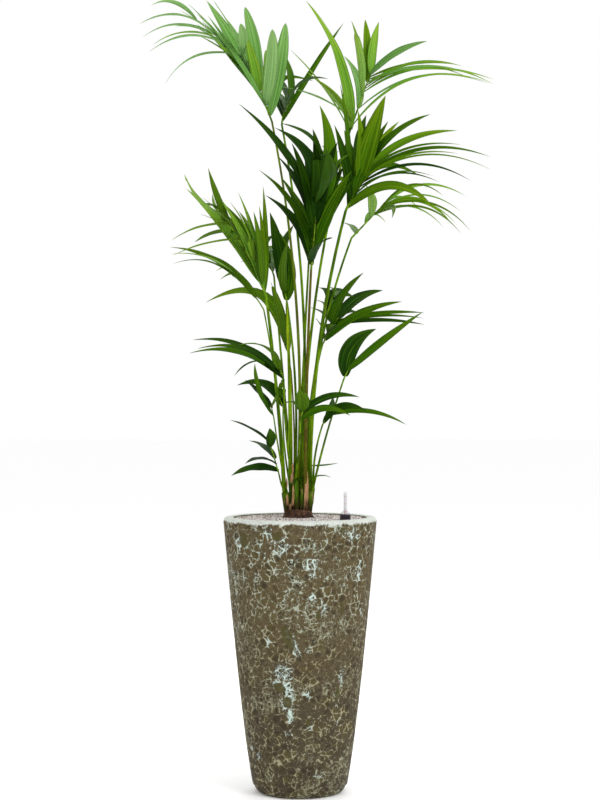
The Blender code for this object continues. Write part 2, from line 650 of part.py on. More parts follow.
def cane_foot(cane):
    """Centre of a cane's foot on the mound: the canes draw together there."""
    x = MOUND_CENTRE.x + (cane.x - MOUND_CENTRE.x) * CANE_CONVERGE
    y = MOUND_CENTRE.y + (cane.y - MOUND_CENTRE.y) * CANE_CONVERGE
    return Vector((x, y, GRAVEL_TOP + MOUND_HEIGHT + 2 * GAP))


def cane_shape(cane):
    """Vertices and faces of one cane, cut level at both ends."""
    foot = cane_foot(cane)
    top = Vector((cane.x, cane.y, cane.top))
    path = [foot.lerp(top, share) for share, _ in CANE_RINGS]
    level = Vector((0.0, 0.0, 1.0))
    radii = [cane.radius * swell for _, swell in CANE_RINGS]
    return tube(path, [level] * len(path), radii, CANE_SIDES)


def stalk_foot(frond):
    """Centre of a stalk's foot, just above the top of its cane."""
    cane = next(c for c in CANES if c.name == frond.cane)
    return Vector((*frond.foot, cane.top + GAP))


def stalk_shape(frond):
    """Vertices and faces of a stalk: level at its foot, square to its own line at its neck."""
    foot = stalk_foot(frond)
    rise = Vector((*frond.sway, 0.0))
    shares = [i / (STALK_RINGS - 1) for i in range(STALK_RINGS)]
    path = [arc_point(foot, frond.neck, rise, s) for s in shares]
    directions = [arc_direction(foot, frond.neck, rise, s) for s in shares]
    directions[0] = Vector((0.0, 0.0, 1.0))
    thick, thin = frond.thick
    radii = [(thick + (thin - thick) * s) / 2 for s in shares]
    return tube(path, directions, radii, STALK_SIDES)


def neck_direction(frond):
    """Direction of the stalk where it ends."""
    return arc_direction(stalk_foot(frond), frond.neck, Vector((*frond.sway, 0.0)), 1.0)


def rib_start(frond):
    """Where the rib begins, clear of the stalk's end face."""
    return frond.neck + neck_direction(frond) * GAP


def rib_shape(frond):
    """Vertices and faces of the rib that carries the leaflets."""
    start = rib_start(frond)
    shares = [i / (RIB_RINGS - 1) for i in range(RIB_RINGS)]
    path = [arc_point(start, frond.end, frond.bow, s) for s in shares]
    directions = [arc_direction(start, frond.end, frond.bow, s) for s in shares]
    directions[0] = neck_direction(frond)
    thick = frond.thick[1] / 2
    radii = [thick + (RIB_TIP_RADIUS - thick) * s for s in shares]
    return tube(path, directions, radii, RIB_SIDES)


def between(pair, share):
    """A value at a share of the way from the first to the last of a pair."""
    return pair[0] + (pair[1] - pair[0]) * share


def leaflet_width(share):
    """Outline of a leaflet: a narrow root, full before the middle, and a long drawn-out point."""
    root = (share + BLADE_ROOT) ** BLADE_ROOT_POWER
    return BLADE_FULLNESS * root * (1.0 - share) ** BLADE_POINT_POWER


def blade(root, tip, rise, width, turn, spare=0.0):
    """Vertices and faces of one leaflet: a shallow channelled blade with a keel under its midrib."""
    keel = max((tip - root).length / BLADE_SLENDERNESS, BLADE_LEAST_KEEL)
    verts = []
    for share in BLADE_RINGS:
        point = arc_point(root, tip, rise, share)
        direction = arc_direction(root, tip, rise, share)
        across = direction.cross(BLADE_FACE)
        if across.length < END_ON:
            across = direction.cross(Vector((0.0, 0.0, 1.0)))
        across = Quaternion(direction, math.radians(turn)) @ across.normalized()
        up = across.cross(direction)
        half = width * leaflet_width(share) / 2 + spare
        edge = up * (half * 2 * BLADE_EDGE_RISE)
        verts.append(point + across * half + edge)
        verts.append(point - up * (keel * (BLADE_ROOT_KEEL - share) + spare))
        verts.append(point - across * half + edge)
        if spare:
            verts.append(point + edge + up * spare)
    sides = 4 if spare else 3
    faces = ring_faces(len(BLADE_RINGS), sides)
    faces.append(tuple(range(sides)))
    last = (len(BLADE_RINGS) - 1) * sides
    verts.append(tip)
    faces += [(last + i, last + (i + 1) % sides, len(verts) - 1) for i in range(sides)]
    return verts, faces


def leaflet_rise(reach, side, bend):
    """How far a leaflet's arc stands clear of its chord, towards the upper side of its lean."""
    upward = Vector((-reach.z, 0.0, reach.x)) * side
    upward -= reach * (upward.dot(reach) / reach.length_squared)
    if upward.length < 1e-6:
        upward = Vector((0.0, 0.0, 1.0))
    return upward.normalized() * (reach.length * math.radians(bend) / 8)


def leaflets(frond, rank):
    """Root, seen reach, depth, bend, width and turn of each leaflet of a rank."""
    goes = rank.first_goes
    count = len(rank.at)
    for i in range(count):
        share = i / max(1, count - 1)
        root = arc_point(rib_start(frond), frond.end, frond.bow, rank.at[i])
        angle = math.radians(rank.angles[i])
        seen = rank.reaches[i]
        whole = between(rank.length, share)
        hidden = math.sqrt(max(whole ** 2 - seen ** 2, (LEAST_HIDDEN * seen) ** 2))
        flat = Vector((seen * math.cos(angle), 0.0, seen * math.sin(angle)))
        yield (root, flat, goes * hidden, between(rank.bend, share), between(rank.width, share),
               between(rank.turn, share))
        goes = -goes


class Surroundings:
    """The shapes placed so far, each with the name of the piece that it belongs to."""

    def __init__(self):
        self.trees = []

    def add(self, owner, shape):
        """Remembers a shape."""
        verts, faces = shape
        self.trees.append((owner, BVHTree.FromPolygons(verts, faces)))

    def free(self, owner, shape):
        """Whether a shape touches nothing that belongs to another piece."""
        tree = BVHTree.FromPolygons(*shape)
        return not any(other != owner and tree.overlap(placed) for other, placed in self.trees)


def frond_blades(frond, owner, around):
    """The blades of a frond. One that would touch another piece is swung, or left out."""
    blades = []
    for rank in frond.ranks:
        for root, flat, depth, bend, width, turn in leaflets(frond, rank):
            for swing in SWINGS:
                reach = flat + Vector((0.0, depth * swing, 0.0))
                rise = leaflet_rise(reach, rank.side, bend)
                if around.free(owner, blade(root, root + reach, rise, width, turn, CLEARANCE)):
                    shape = blade(root, root + reach, rise, width, turn)
                    around.add(owner, shape)
                    blades.append(shape)
                    break
    return blades


def fuse(name, body, blades, material):
    """One closed solid of a rib and its leaflets."""
    obj = add_object(name, mesh_from_faces(name, *body), material)
    operands = bpy.data.collections.new(name + "_leaflets")
    bpy.context.scene.collection.children.link(operands)
    for shape in blades:
        leaf = bpy.data.objects.new(name + "_leaflet", mesh_from_faces("leaflet", *shape))
        operands.objects.link(leaf)
    union = obj.modifiers.new("leaflets", "BOOLEAN")
    union.operation = "UNION"
    union.operand_type = "COLLECTION"
    union.collection = operands
    for solver in ("EXACT", "MANIFOLD"):
        union.solver = solver
        graph = bpy.context.evaluated_depsgraph_get()
        fused = bpy.data.meshes.new_from_object(obj.evaluated_get(graph))
        keep_largest(fused)
        if is_clean(fused):
            break
    obj.modifiers.clear()
    obj.data = fused
    for leaf in list(operands.objects):
        bpy.data.objects.remove(leaf)
    bpy.data.collections.remove(operands)


def is_clean(mesh):
    """Whether every edge joins two faces and no two parts meet at a bare point."""
    bm = bmesh.new()
    bm.from_mesh(mesh)
    bm.normal_update()
    clean = all(edge.is_manifold and edge.is_contiguous for edge in bm.edges)
    clean = clean and all(vert.is_manifold for vert in bm.verts)
    bm.free()
    return clean


def keep_largest(mesh):
    """Drops loose scraps and the walls of sealed hollows, which are the smaller islands."""
    bm = bmesh.new()
    bm.from_mesh(mesh)
    left = set(bm.verts)
    islands = []
    while left:
        queue = [left.pop()]
        island = set(queue)
        while queue:
            for edge in queue.pop().link_edges:
                for vert in edge.verts:
                    if vert in left:
                        left.remove(vert)
                        island.add(vert)
                        queue.append(vert)
        islands.append(island)
    for island in sorted(islands, key=len)[:-1]:
        bmesh.ops.delete(bm, geom=list(island), context="VERTS")
    bm.to_mesh(mesh)
    bm.free()


def spear_shape():
    """Vertices and faces of the unopened spear leaf."""
    cane = next(c for c in CANES if c.name == "cane_left_back")
    foot = Vector((*SPEAR_FOOT, cane.top + GAP))
    rise = Vector((SPEAR_SWAY, 0.0, 0.0))
    path = [arc_point(foot, SPEAR_TIP, rise, share) for share, _ in SPEAR_RINGS]
    directions = [arc_direction(foot, SPEAR_TIP, rise, share) for share, _ in SPEAR_RINGS]
    directions[0] = Vector((0.0, 0.0, 1.0))
    radii = [SPEAR_RADIUS * swell for _, swell in SPEAR_RINGS]
    return tube(path, directions, radii, SPEAR_SIDES, SPEAR_TIP)


def make_palm():
    """Canes, stalks, the spear leaf and the fronds."""
    around = Surroundings()
    cane_finish = finish("cane_sheath", CANE_TAN, 0.70)
    stalk_finish = finish("stalk_green", STALK_GREEN, 0.40)
    limbs = [(cane.name, cane_shape(cane), cane_finish) for cane in CANES]
    limbs += [("stalk_" + frond.name, stalk_shape(frond), stalk_finish) for frond in FRONDS]
    limbs.append(("spear_leaf", spear_shape(), stalk_finish))
    for name, shape, material in limbs:
        mesh = mesh_from_faces(name, *shape)
        mesh.shade_smooth()
        mesh.set_sharp_from_angle(angle=math.radians(50))
        add_object(name, mesh, material)
        around.add(name, shape)
    for frond in FRONDS:
        around.add("frond_" + frond.name, rib_shape(frond))
    leaf_finishes = {
        LIGHT_LEAF: finish("leaf_light", LIGHT_LEAF, 0.40),
        MID_LEAF: finish("leaf_mid", MID_LEAF, 0.40),
        DARK_LEAF: finish("leaf_dark", DARK_LEAF, 0.35),
    }
    for frond in FRONDS:
        name = "frond_" + frond.name
        blades = frond_blades(frond, name, around)
        fuse(name, rib_shape(frond), blades, leaf_finishes[frond.colour])


for old in list(bpy.data.objects):
    bpy.data.objects.remove(old)
make_planter()
make_fill()
make_gauge()
make_mound()
make_palm()
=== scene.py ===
"""Looks of a kentia palm in its tall crackle-glazed planter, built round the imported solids.

Metres, +Z up. The origin is the centre of the planter's flat underside, +X is to the right of the
palm's front and -Y is its front.
"""

import json
import logging
import math
import random
from dataclasses import dataclass
from enum import Enum
from typing import Callable, Iterator, Optional, Sequence, Union

import bpy
import numpy as np
from bpy.types import Material, Mesh, Node, NodeSocket, NodeTree, Object
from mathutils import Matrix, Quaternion, Vector, noise
from mathutils.bvhtree import BVHTree

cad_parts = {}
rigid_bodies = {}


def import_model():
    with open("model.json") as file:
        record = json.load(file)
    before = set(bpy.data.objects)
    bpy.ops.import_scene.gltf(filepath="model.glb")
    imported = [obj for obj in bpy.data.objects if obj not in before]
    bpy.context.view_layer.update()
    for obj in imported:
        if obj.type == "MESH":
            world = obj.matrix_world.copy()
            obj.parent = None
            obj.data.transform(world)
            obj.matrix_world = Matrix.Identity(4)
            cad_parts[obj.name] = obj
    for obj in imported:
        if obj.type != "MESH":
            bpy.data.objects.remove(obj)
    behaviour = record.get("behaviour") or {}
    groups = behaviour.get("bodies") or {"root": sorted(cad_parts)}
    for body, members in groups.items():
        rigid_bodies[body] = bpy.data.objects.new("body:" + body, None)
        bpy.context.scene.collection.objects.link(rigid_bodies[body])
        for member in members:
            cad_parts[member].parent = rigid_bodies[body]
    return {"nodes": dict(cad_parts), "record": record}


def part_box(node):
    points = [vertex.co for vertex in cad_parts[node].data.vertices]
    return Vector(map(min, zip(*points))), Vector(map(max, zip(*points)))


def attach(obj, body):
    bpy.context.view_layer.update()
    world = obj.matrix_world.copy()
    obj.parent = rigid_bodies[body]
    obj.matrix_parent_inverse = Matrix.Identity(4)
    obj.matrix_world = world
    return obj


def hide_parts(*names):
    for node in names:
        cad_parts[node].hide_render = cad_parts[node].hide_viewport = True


for start_up in list(bpy.data.objects):
    bpy.data.objects.remove(start_up)
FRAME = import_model()

LOG = logging.getLogger("palm")
ROOT = "root"
# Clearance between solids that stand on one another.
GAP = 0.0003
# Edges of a turned piece sharper than this, in degrees, stay crisp.
SHARP_ANGLE = 40

Colour = tuple[float, float, float]
Profile = Sequence[tuple[float, float]]
Span = Union[float, tuple[float, float]]
Value = Union[float, int, bool, str, Sequence[float], NodeSocket, Material]


class Side(Enum):
    """The side of a rib that a rank of leaflets stands on."""

    RIGHT = 1
    LEFT = -1


class Way(Enum):
    """Whether a leaflet reaches back or forward."""

    BACK = 1
    FRONT = -1


class Tint(Enum):
    """Leaf tints, each as the linear colour of the upper face, of the underside and of the midrib. The
    undersides are paler, as real leaflets are, and lighter still as painted light for the glow of backlit
    leaflets.
    """

    MINT = ((0.135, 0.330, 0.062), (0.225, 0.430, 0.130), (0.340, 0.540, 0.190))
    SPRING = ((0.130, 0.315, 0.026), (0.200, 0.390, 0.070), (0.400, 0.540, 0.040))
    GRASS = ((0.075, 0.190, 0.003), (0.130, 0.260, 0.016), (0.280, 0.400, 0.012))
    MID = ((0.032, 0.108, 0.001), (0.060, 0.140, 0.005), (0.150, 0.270, 0.006))
    DEEP = ((0.008, 0.038, 0.001), (0.020, 0.064, 0.003), (0.066, 0.155, 0.004))
    # SHADE is a darker copy of the leaf green: painted shade for leaflets in the crown's shade, low down and
    # in its middle.
    SHADE = ((0.005, 0.026, 0.001), (0.015, 0.048, 0.005), (0.034, 0.095, 0.005))
    GREY = ((0.050, 0.110, 0.034), (0.090, 0.155, 0.064), (0.160, 0.250, 0.070))


class Face(Enum):
    """Which face of a leaflet a strip of it belongs to, as the place in its tint's colours."""

    UPPER = 0
    UNDER = 1
    MIDRIB = 2


class NodeBuilder:
    """Adds nodes to a tree in one line each.

    Args:
        tree: The shader or geometry tree to build in.
    """

    def __init__(self, tree: NodeTree) -> None:
        """Keeps the tree."""
        self.tree = tree

    def add(self, kind: str, inputs: Optional[dict] = None, **settings: object) -> Node:
        """Adds a node, sets its settings, and fills or links its inputs.

        Args:
            kind: Blender's identifier of the node.
            inputs: Socket name or place to a value, or to the socket to link from.
            **settings: Properties of the node.

        Returns:
            The new node.
        """
        node = self.tree.nodes.new(kind)
        for name, value in settings.items():
            setattr(node, name, value)
        for key, value in (inputs or {}).items():
            if isinstance(value, NodeSocket):
                self.tree.links.new(value, node.inputs[key])
            else:
                node.inputs[key].default_value = value
        return node

    def math(self, operation: str, first: Value, second: Value = 0.0, clamp: bool = False) -> NodeSocket:
        """A Math node's result, kept between 0 and 1 where clamp says so."""
        inputs = {0: first, 1: second}
        return self.add("ShaderNodeMath", inputs, operation=operation, use_clamp=clamp).outputs[0]

    def times(self, first: Value, second: Value) -> NodeSocket:
        """The product of two values."""
        return self.math("MULTIPLY", first, second)

    def plus(self, first: Value, second: Value, factor: Value) -> NodeSocket:
        """The sum of a value and of a second one times a factor."""
        return self.math("ADD", first, self.times(second, factor))

    def swing(self, value: Value, size: Value) -> NodeSocket:
        """A value of 0 to 1 made to swing about zero, by half of size each way."""
        return self.times(self.math("SUBTRACT", value, 0.5), size)

    def vector(self, operation: str, first: Value, second: Value) -> NodeSocket:
        """A Vector Math node's result, where second is the factor if the operation is SCALE."""
        key = "Scale" if operation == "SCALE" else 1
        return self.add("ShaderNodeVectorMath", {0: first, key: second}, operation=operation).outputs[0]

    def ranged(self, value: Value, low: float, high: float, to_low: float = 0.0,
               to_high: float = 1.0) -> NodeSocket:
        """Maps a value from low..high to to_low..to_high, with a soft start and end."""
        inputs = {"Value": value, "From Min": low, "From Max": high, "To Min": to_low, "To Max": to_high}
        return self.add("ShaderNodeMapRange", inputs, interpolation_type="SMOOTHSTEP").outputs[0]

    def mixed(self, share: Value, first: Value, second: Value) -> NodeSocket:
        """Mixes two colours, with this share of the second."""
        one, two = (v if isinstance(v, NodeSocket) else (*v, 1.0) for v in (first, second))
        return self.add("ShaderNodeMix", {0: share, 6: one, 7: two}, data_type="RGBA").outputs[2]

    def layer(self, under: Value, over: Value, value: Value, low: float, high: float,
              most: float = 1.0) -> NodeSocket:
        """Lays a colour over another, up to most of it as a value goes from low to high."""
        return self.mixed(self.ranged(value, low, high, 0.0, most), under, over)

    def noise(self, place: NodeSocket, scale: float, detail: float = 2.0,
              roughness: float = 0.5) -> NodeSocket:
        """A Noise Texture's value at a place, of this scale, octaves and roughness."""
        inputs = {"Vector": place, "Scale": scale, "Detail": detail, "Roughness": roughness}
        return self.add("ShaderNodeTexNoise", inputs).outputs[0]

    def stretched(self, place: NodeSocket, scale: Sequence[float], detail: float = 2.0,
                  roughness: float = 0.5) -> NodeSocket:
        """The same, drawn out along an axis by a scale for each of X, Y and Z."""
        return self.noise(self.vector("MULTIPLY", place, scale), 1.0, detail, roughness)


class ShaderBuilder(NodeBuilder):
    """A node builder for a new Principled material.

    Args:
        name: Name of the material.
        colour: Plain base colour.
        roughness: Plain roughness.
        specular: Specular level.
    """

    def __init__(self, name: str, colour: Colour, roughness: float, specular: float = 0.5) -> None:
        """Makes the material and finds its shader and its coordinates."""
        self.material = bpy.data.materials.new(name)
        self.material.use_nodes = True
        super().__init__(self.material.node_tree)
        self.shader = self.tree.nodes["Principled BSDF"]
        self.plain("Base Color", (*colour, 1.0))
        self.plain("Roughness", roughness)
        self.plain("Specular IOR Level", specular)
        self.place = self.add("ShaderNodeTexCoord").outputs["Object"]

    def plain(self, name: str, value: Value) -> None:
        """Sets one of the Principled shader's own sockets."""
        self.shader.inputs[name].default_value = value

    def link(self, socket: NodeSocket, name: str) -> None:
        """Links a socket to one of the Principled shader's inputs."""
        self.tree.links.new(socket, self.shader.inputs[name])

    def attribute(self, name: str) -> NodeSocket:
        """Reads an attribute of the mesh as one number."""
        return self.add("ShaderNodeAttribute", attribute_name=name).outputs["Fac"]

    def bump(self, height: NodeSocket, distance: float, strength: float = 1.0) -> None:
        """Gives the shader relief, of the distance in metres where the height is 1."""
        inputs = {"Height": height, "Distance": distance, "Strength": strength}
        self.link(self.add("ShaderNodeBump", inputs).outputs["Normal"], "Normal")


class GeometryBuilder(NodeBuilder):
    """A node builder for a new Geometry Nodes tree with named inputs.

    Args:
        name: Name of the tree.
        values: Name of each input to the value that the piece gives it.
    """

    kinds = {int: "NodeSocketInt", float: "NodeSocketFloat", tuple: "NodeSocketVector"}

    def __init__(self, name: str, values: dict[str, Union[int, float, tuple]]) -> None:
        """Makes the tree and its sockets."""
        super().__init__(bpy.data.node_groups.new(name, "GeometryNodeTree"))
        self.values = values
        sockets = {"Geometry": "NodeSocketGeometry"}
        sockets.update({label: self.kinds[type(value)] for label, value in values.items()})
        sockets["Finish"] = "NodeSocketMaterial"
        for label, kind in sockets.items():
            self.tree.interface.new_socket(label, in_out="INPUT", socket_type=kind)
        self.tree.interface.new_socket("Geometry", in_out="OUTPUT", socket_type="NodeSocketGeometry")
        self.given = self.add("NodeGroupInput").outputs

    def attribute(self, name: str) -> NodeSocket:
        """Reads a named attribute as one number."""
        node = self.add("GeometryNodeInputNamedAttribute", {"Name": name}, data_type="FLOAT")
        return node.outputs["Attribute"]

    def random(self, low: float, high: float, seed: int) -> NodeSocket:
        """A random number for each element, from low to high, of a fixed seed."""
        inputs = {2: low, 3: high, "Seed": seed}
        return self.add("FunctionNodeRandomValue", inputs, data_type="FLOAT").outputs[1]

    def raised(self, geometry: NodeSocket, height: NodeSocket) -> NodeSocket:
        """Moves a surface out along its normals by a height."""
        normal = self.add("GeometryNodeInputNormal").outputs[0]
        inputs = {"Geometry": geometry, "Offset": self.vector("SCALE", normal, height)}
        return self.add("GeometryNodeSetPosition", inputs).outputs[0]

    def swept(self, path: NodeSocket, ring: NodeSocket, scale: Value = 1.0) -> NodeSocket:
        """Sweeps a ring along a path, with closed ends and the ring scaled as it goes."""
        inputs = {"Curve": path, "Profile Curve": ring, "Scale": scale, "Fill Caps": True}
        return self.add("GeometryNodeCurveToMesh", inputs).outputs[0]

    def finish(self, geometry: NodeSocket) -> "GeometryBuilder":
        """Ends the tree in Realize Instances and Set Material.

        Args:
            geometry: The socket of what the tree has made.

        Returns:
            The builder, for grown.
        """
        real = self.add("GeometryNodeRealizeInstances", {"Geometry": geometry}).outputs[0]
        dressed = self.add("GeometryNodeSetMaterial", {"Geometry": real, "Material": self.given["Finish"]})
        self.add("NodeGroupOutput", {0: dressed.outputs[0]})
        return self


def grown(name: str, mesh: Mesh, build: GeometryBuilder, finish: Material) -> Object:
    """Runs a Geometry Nodes tree on a mesh and keeps the result as a plain mesh.

    Args:
        name: Name of the piece.
        mesh: The mesh that the tree starts from.
        build: The builder of the finished tree, which holds the inputs' values.
        finish: The material that the tree gives the piece.

    Returns:
        The piece, with no modifier left on it.
    """
    piece = bpy.data.objects.new(name, mesh)
    bpy.context.scene.collection.objects.link(piece)
    modifier = piece.modifiers.new("nodes", "NODES")
    modifier.node_group = build.tree
    sockets = {item.name: item.identifier for item in build.tree.interface.items_tree
               if item.item_type == "SOCKET" and item.in_out == "INPUT"}
    for label, value in {**build.values, "Finish": finish}.items():
        modifier[sockets[label]] = value
    piece.update_tag()
    bpy.context.view_layer.update()
    graph = bpy.context.evaluated_depsgraph_get()
    plain = bpy.data.meshes.new_from_object(
        piece.evaluated_get(graph), preserve_all_data_layers=True, depsgraph=graph)
    piece.modifiers.clear()
    piece.data = plain
    return piece


def placed(name: str, verts: Sequence, faces: Sequence, finishes: Sequence[Material],
           zones: Optional[Sequence[int]] = None) -> Object:
    """Makes a smooth piece from points and faces.

    Args:
        name: Name of the piece.
        verts: Its points.
        faces: Its faces, as places in verts.
        finishes: Its materials.
        zones: Each face's place in finishes.

    Returns:
        The piece, linked to the scene.
    """
    mesh = bpy.data.meshes.new(name)
    mesh.from_pydata([tuple(v) for v in verts], [], [tuple(f) for f in faces])
    for material in finishes:
        mesh.materials.append(material)
    if zones is not None:
        mesh.polygons.foreach_set("material_index", np.asarray(zones, np.int32))
    mesh.shade_smooth()
    mesh.update()
    piece = bpy.data.objects.new(name, mesh)
    bpy.context.scene.collection.objects.link(piece)
    return piece


def stored(mesh: Mesh, values: dict[str, Sequence[float]]) -> None:
    """Keeps a number for each point of a mesh under each attribute's name."""
    for label, numbers in values.items():
        mesh.attributes.new(label, "FLOAT", "POINT").data.foreach_set("value", numbers)


def dressed(node: Object, finish: Material) -> None:
    """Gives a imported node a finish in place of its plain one."""
    node.data.materials.clear()
    node.data.materials.append(finish)


def shown(piece: Object, slot: str, *nodes: str) -> None:
    """Puts a finished piece on the part's one body.

    Args:
        piece: The piece.
        slot: The record's material slot; not used.
        *nodes: The nodes that it stands for.
    """
    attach(piece, ROOT)
    if nodes:
        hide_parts(*nodes)
    LOG.info("%s: %d faces, for %s", piece.name, len(piece.data.polygons), ", ".join(nodes) or "no node")


def ring_faces(rings: int, sides: int, start: int = 0) -> list[tuple[int, ...]]:
    """Quads that join rings of points one after another.

    Args:
        rings: How many rings there are.
        sides: Points in a ring.
        start: Place of the first ring's first point.

    Returns:
        The faces.
    """
    faces = []
    for ring in range(rings - 1):
        for i in range(sides):
            a = start + ring * sides + i
            b = start + ring * sides + (i + 1) % sides
            faces.append((a, b, b + sides, a + sides))
    return faces


def fan_faces(sides: int, start: int, pole: int) -> list[tuple[int, ...]]:
    """Triangles that join a ring of points, the first of them at start, to a pole past its end."""
    return [(start + i, start + (i + 1) % sides, pole) for i in range(sides)]


def turned(name: str, profile: Profile, segments: int, finish: Material,
           centre: tuple[float, float] = (0.0, 0.0)) -> Object:
    """Turns a profile about a vertical axis.

    Args:
        name: Name of the piece.
        profile: Radius and height from the axis underneath, round the outside, to the axis on top.
        segments: Steps round the axis.
        finish: The material.
        centre: Where the axis stands.

    Returns:
        The piece, closed at both poles.
    """
    x, y = centre
    angles = np.linspace(0.0, math.tau, segments, endpoint=False)
    verts = [(x, y, profile[0][1])]
    for radius, height in profile[1:-1]:
        verts += [(x + radius * math.cos(a), y + radius * math.sin(a), height) for a in angles]
    verts.append((x, y, profile[-1][1]))
    rings = len(profile) - 2
    faces = [(0, 1 + (i + 1) % segments, 1 + i) for i in range(segments)]
    faces += ring_faces(rings, segments, 1)
    faces += fan_faces(segments, 1 + (rings - 1) * segments, len(verts) - 1)
    piece = placed(name, verts, faces, [finish])
    piece.data.set_sharp_from_angle(angle=math.radians(SHARP_ANGLE))
    return piece


@dataclass(frozen=True)
class LeafFinish:
    """Finish of one face of a leaflet: its tint, a soft sheen, fine lengthwise veins, and painted shade at
    the root and in the pleats' folds.
    """

    tint: Tint
    face: Face
    gloss: float = 0.56
    specular: float = 0.025
    veins: float = 15.0
    vein_depth: float = 0.0005
    shadow: float = 0.50
    root_shade: float = 0.60
    tip_pallor: float = 0.40
    pleat_shade: float = 0.55
    streak: float = 0.48

    def make(self) -> Material:
        """Builds the material."""
        colour = self.tint.value[self.face.value]
        pale = self.tint.value[Face.MIDRIB.value]
        # dark is the colour of painted shade at the root and in the pleats' folds, and of the real dark vein
        # streaks.
        dark = tuple(self.shadow * channel for channel in colour)
        name = f"leaf_{self.tint.name.lower()}_{self.face.name.lower()}"
        build = ShaderBuilder(name, colour, self.gloss, self.specular)
        blade = build.add("ShaderNodeUVMap", uv_map="blade").outputs[0]
        veins = build.stretched(blade, (self.veins, 0.9, 1.0), 3.0, 0.65)
        pleats = build.stretched(blade, (0.42 * self.veins, 0.35, 1.0), 1.0)
        along = build.add("ShaderNodeSeparateXYZ", {0: blade}).outputs[1]
        # Painted shade: darker towards the root, where the leaflet meets the rib.
        tone = build.layer(colour, dark, along, 0.35, 0.0, self.root_shade)
        tone = build.layer(tone, pale, along, 0.35, 1.0, self.tip_pallor)
        # Painted shade in the pleats' folds, where the same noise bumps the surface down.
        tone = build.layer(tone, dark, pleats, 0.56, 0.44, self.pleat_shade)
        tone = build.layer(tone, pale, veins, 0.52, 0.66, self.streak)
        build.link(build.layer(tone, dark, veins, 0.48, 0.34, self.streak), "Base Color")
        build.bump(build.math("ADD", veins, pleats), self.vein_depth, 0.9)
        patchy = build.noise(build.place, 60.0)
        build.link(build.ranged(patchy, 0.3, 0.7, self.gloss - 0.05, self.gloss + 0.12), "Roughness")
        return build.material


@dataclass(frozen=True)
class LimbFinish:
    """Finish of stalks and ribs: streaked green with painted shade in long patches, for the dark between
    stalks, that browns where the limb's tone says so.
    """

    name: str
    low: Colour = (0.140, 0.260, 0.001)
    high: Colour = (0.135, 0.280, 0.004)
    brown: Colour = (0.085, 0.045, 0.008)
    shade: Colour = (0.014, 0.062, 0.001)
    gloss: float = 0.50
    specular: float = 0.03
    streak_scale: Colour = (420.0, 420.0, 9.0)
    shade_patch_scale: Colour = (90.0, 90.0, 5.0)

    def make(self) -> Material:
        """Builds the material."""
        build = ShaderBuilder(self.name, self.low, self.gloss, self.specular)
        streaks = build.stretched(build.place, self.streak_scale, 3.0)
        shade_patches = build.stretched(build.place, self.shade_patch_scale)
        green = build.mixed(build.attribute("along"), self.low, self.high)
        # Painted shade: broad lengthwise patches darken towards shade, for the shadows between stalks. The
        # fine streaks on the next line use the same dark as the limbs' own streaking.
        green = build.layer(green, self.shade, shade_patches, 0.40, 0.62, 0.80)
        green = build.layer(green, self.shade, streaks, 0.45, 0.70, 0.50)
        browned = build.ranged(streaks, 0.4, 0.7, -0.2, 0.2)
        tone = build.math("ADD", build.attribute("tone"), browned, clamp=True)
        build.link(build.mixed(tone, green, self.brown), "Base Color")
        build.bump(streaks, 0.0004, 0.6)
        return build.material


@dataclass(frozen=True)
class SheathFinish:
    """Finish of the leaf bases that wrap the canes: fibrous, green where fresh and tan where dried."""

    name: str
    fresh: Colour
    dried: Colour
    dark: Colour
    dryness: float
    soiled: Colour = (0.026, 0.013, 0.006)
    soil: tuple[float, float] = (0.671, 0.712)
    gloss: float = 0.66
    specular: float = 0.06
    fibre_scale: Colour = (700.0, 700.0, 22.0)
    patch_scale: Colour = (120.0, 120.0, 28.0)

    def make(self) -> Material:
        """Builds the material, darker down where the soil has stained it."""
        build = ShaderBuilder(self.name, self.fresh, self.gloss, self.specular)
        fibres = build.stretched(build.place, self.fibre_scale, 4.0, 0.65)
        patches = build.stretched(build.place, self.patch_scale)
        colour = build.layer(self.fresh, self.dried, patches, 0.62 - self.dryness, 0.74 - self.dryness)
        # Dark between the fibres: the fibres' own colour, and on the canes, where the dark is near black,
        # painted shade as well.
        colour = build.layer(colour, self.dark, fibres, 0.56, 0.42, 0.75)
        height = build.add("ShaderNodeSeparateXYZ", {0: build.place}).outputs[2]
        uneven = build.math("ADD", height, build.swing(patches, 0.05))
        stained = build.ranged(uneven, *self.soil, 0.92, 0.0)
        build.link(build.mixed(stained, colour, self.soiled), "Base Color")
        build.bump(fibres, 0.0009, 0.9)
        return build.material


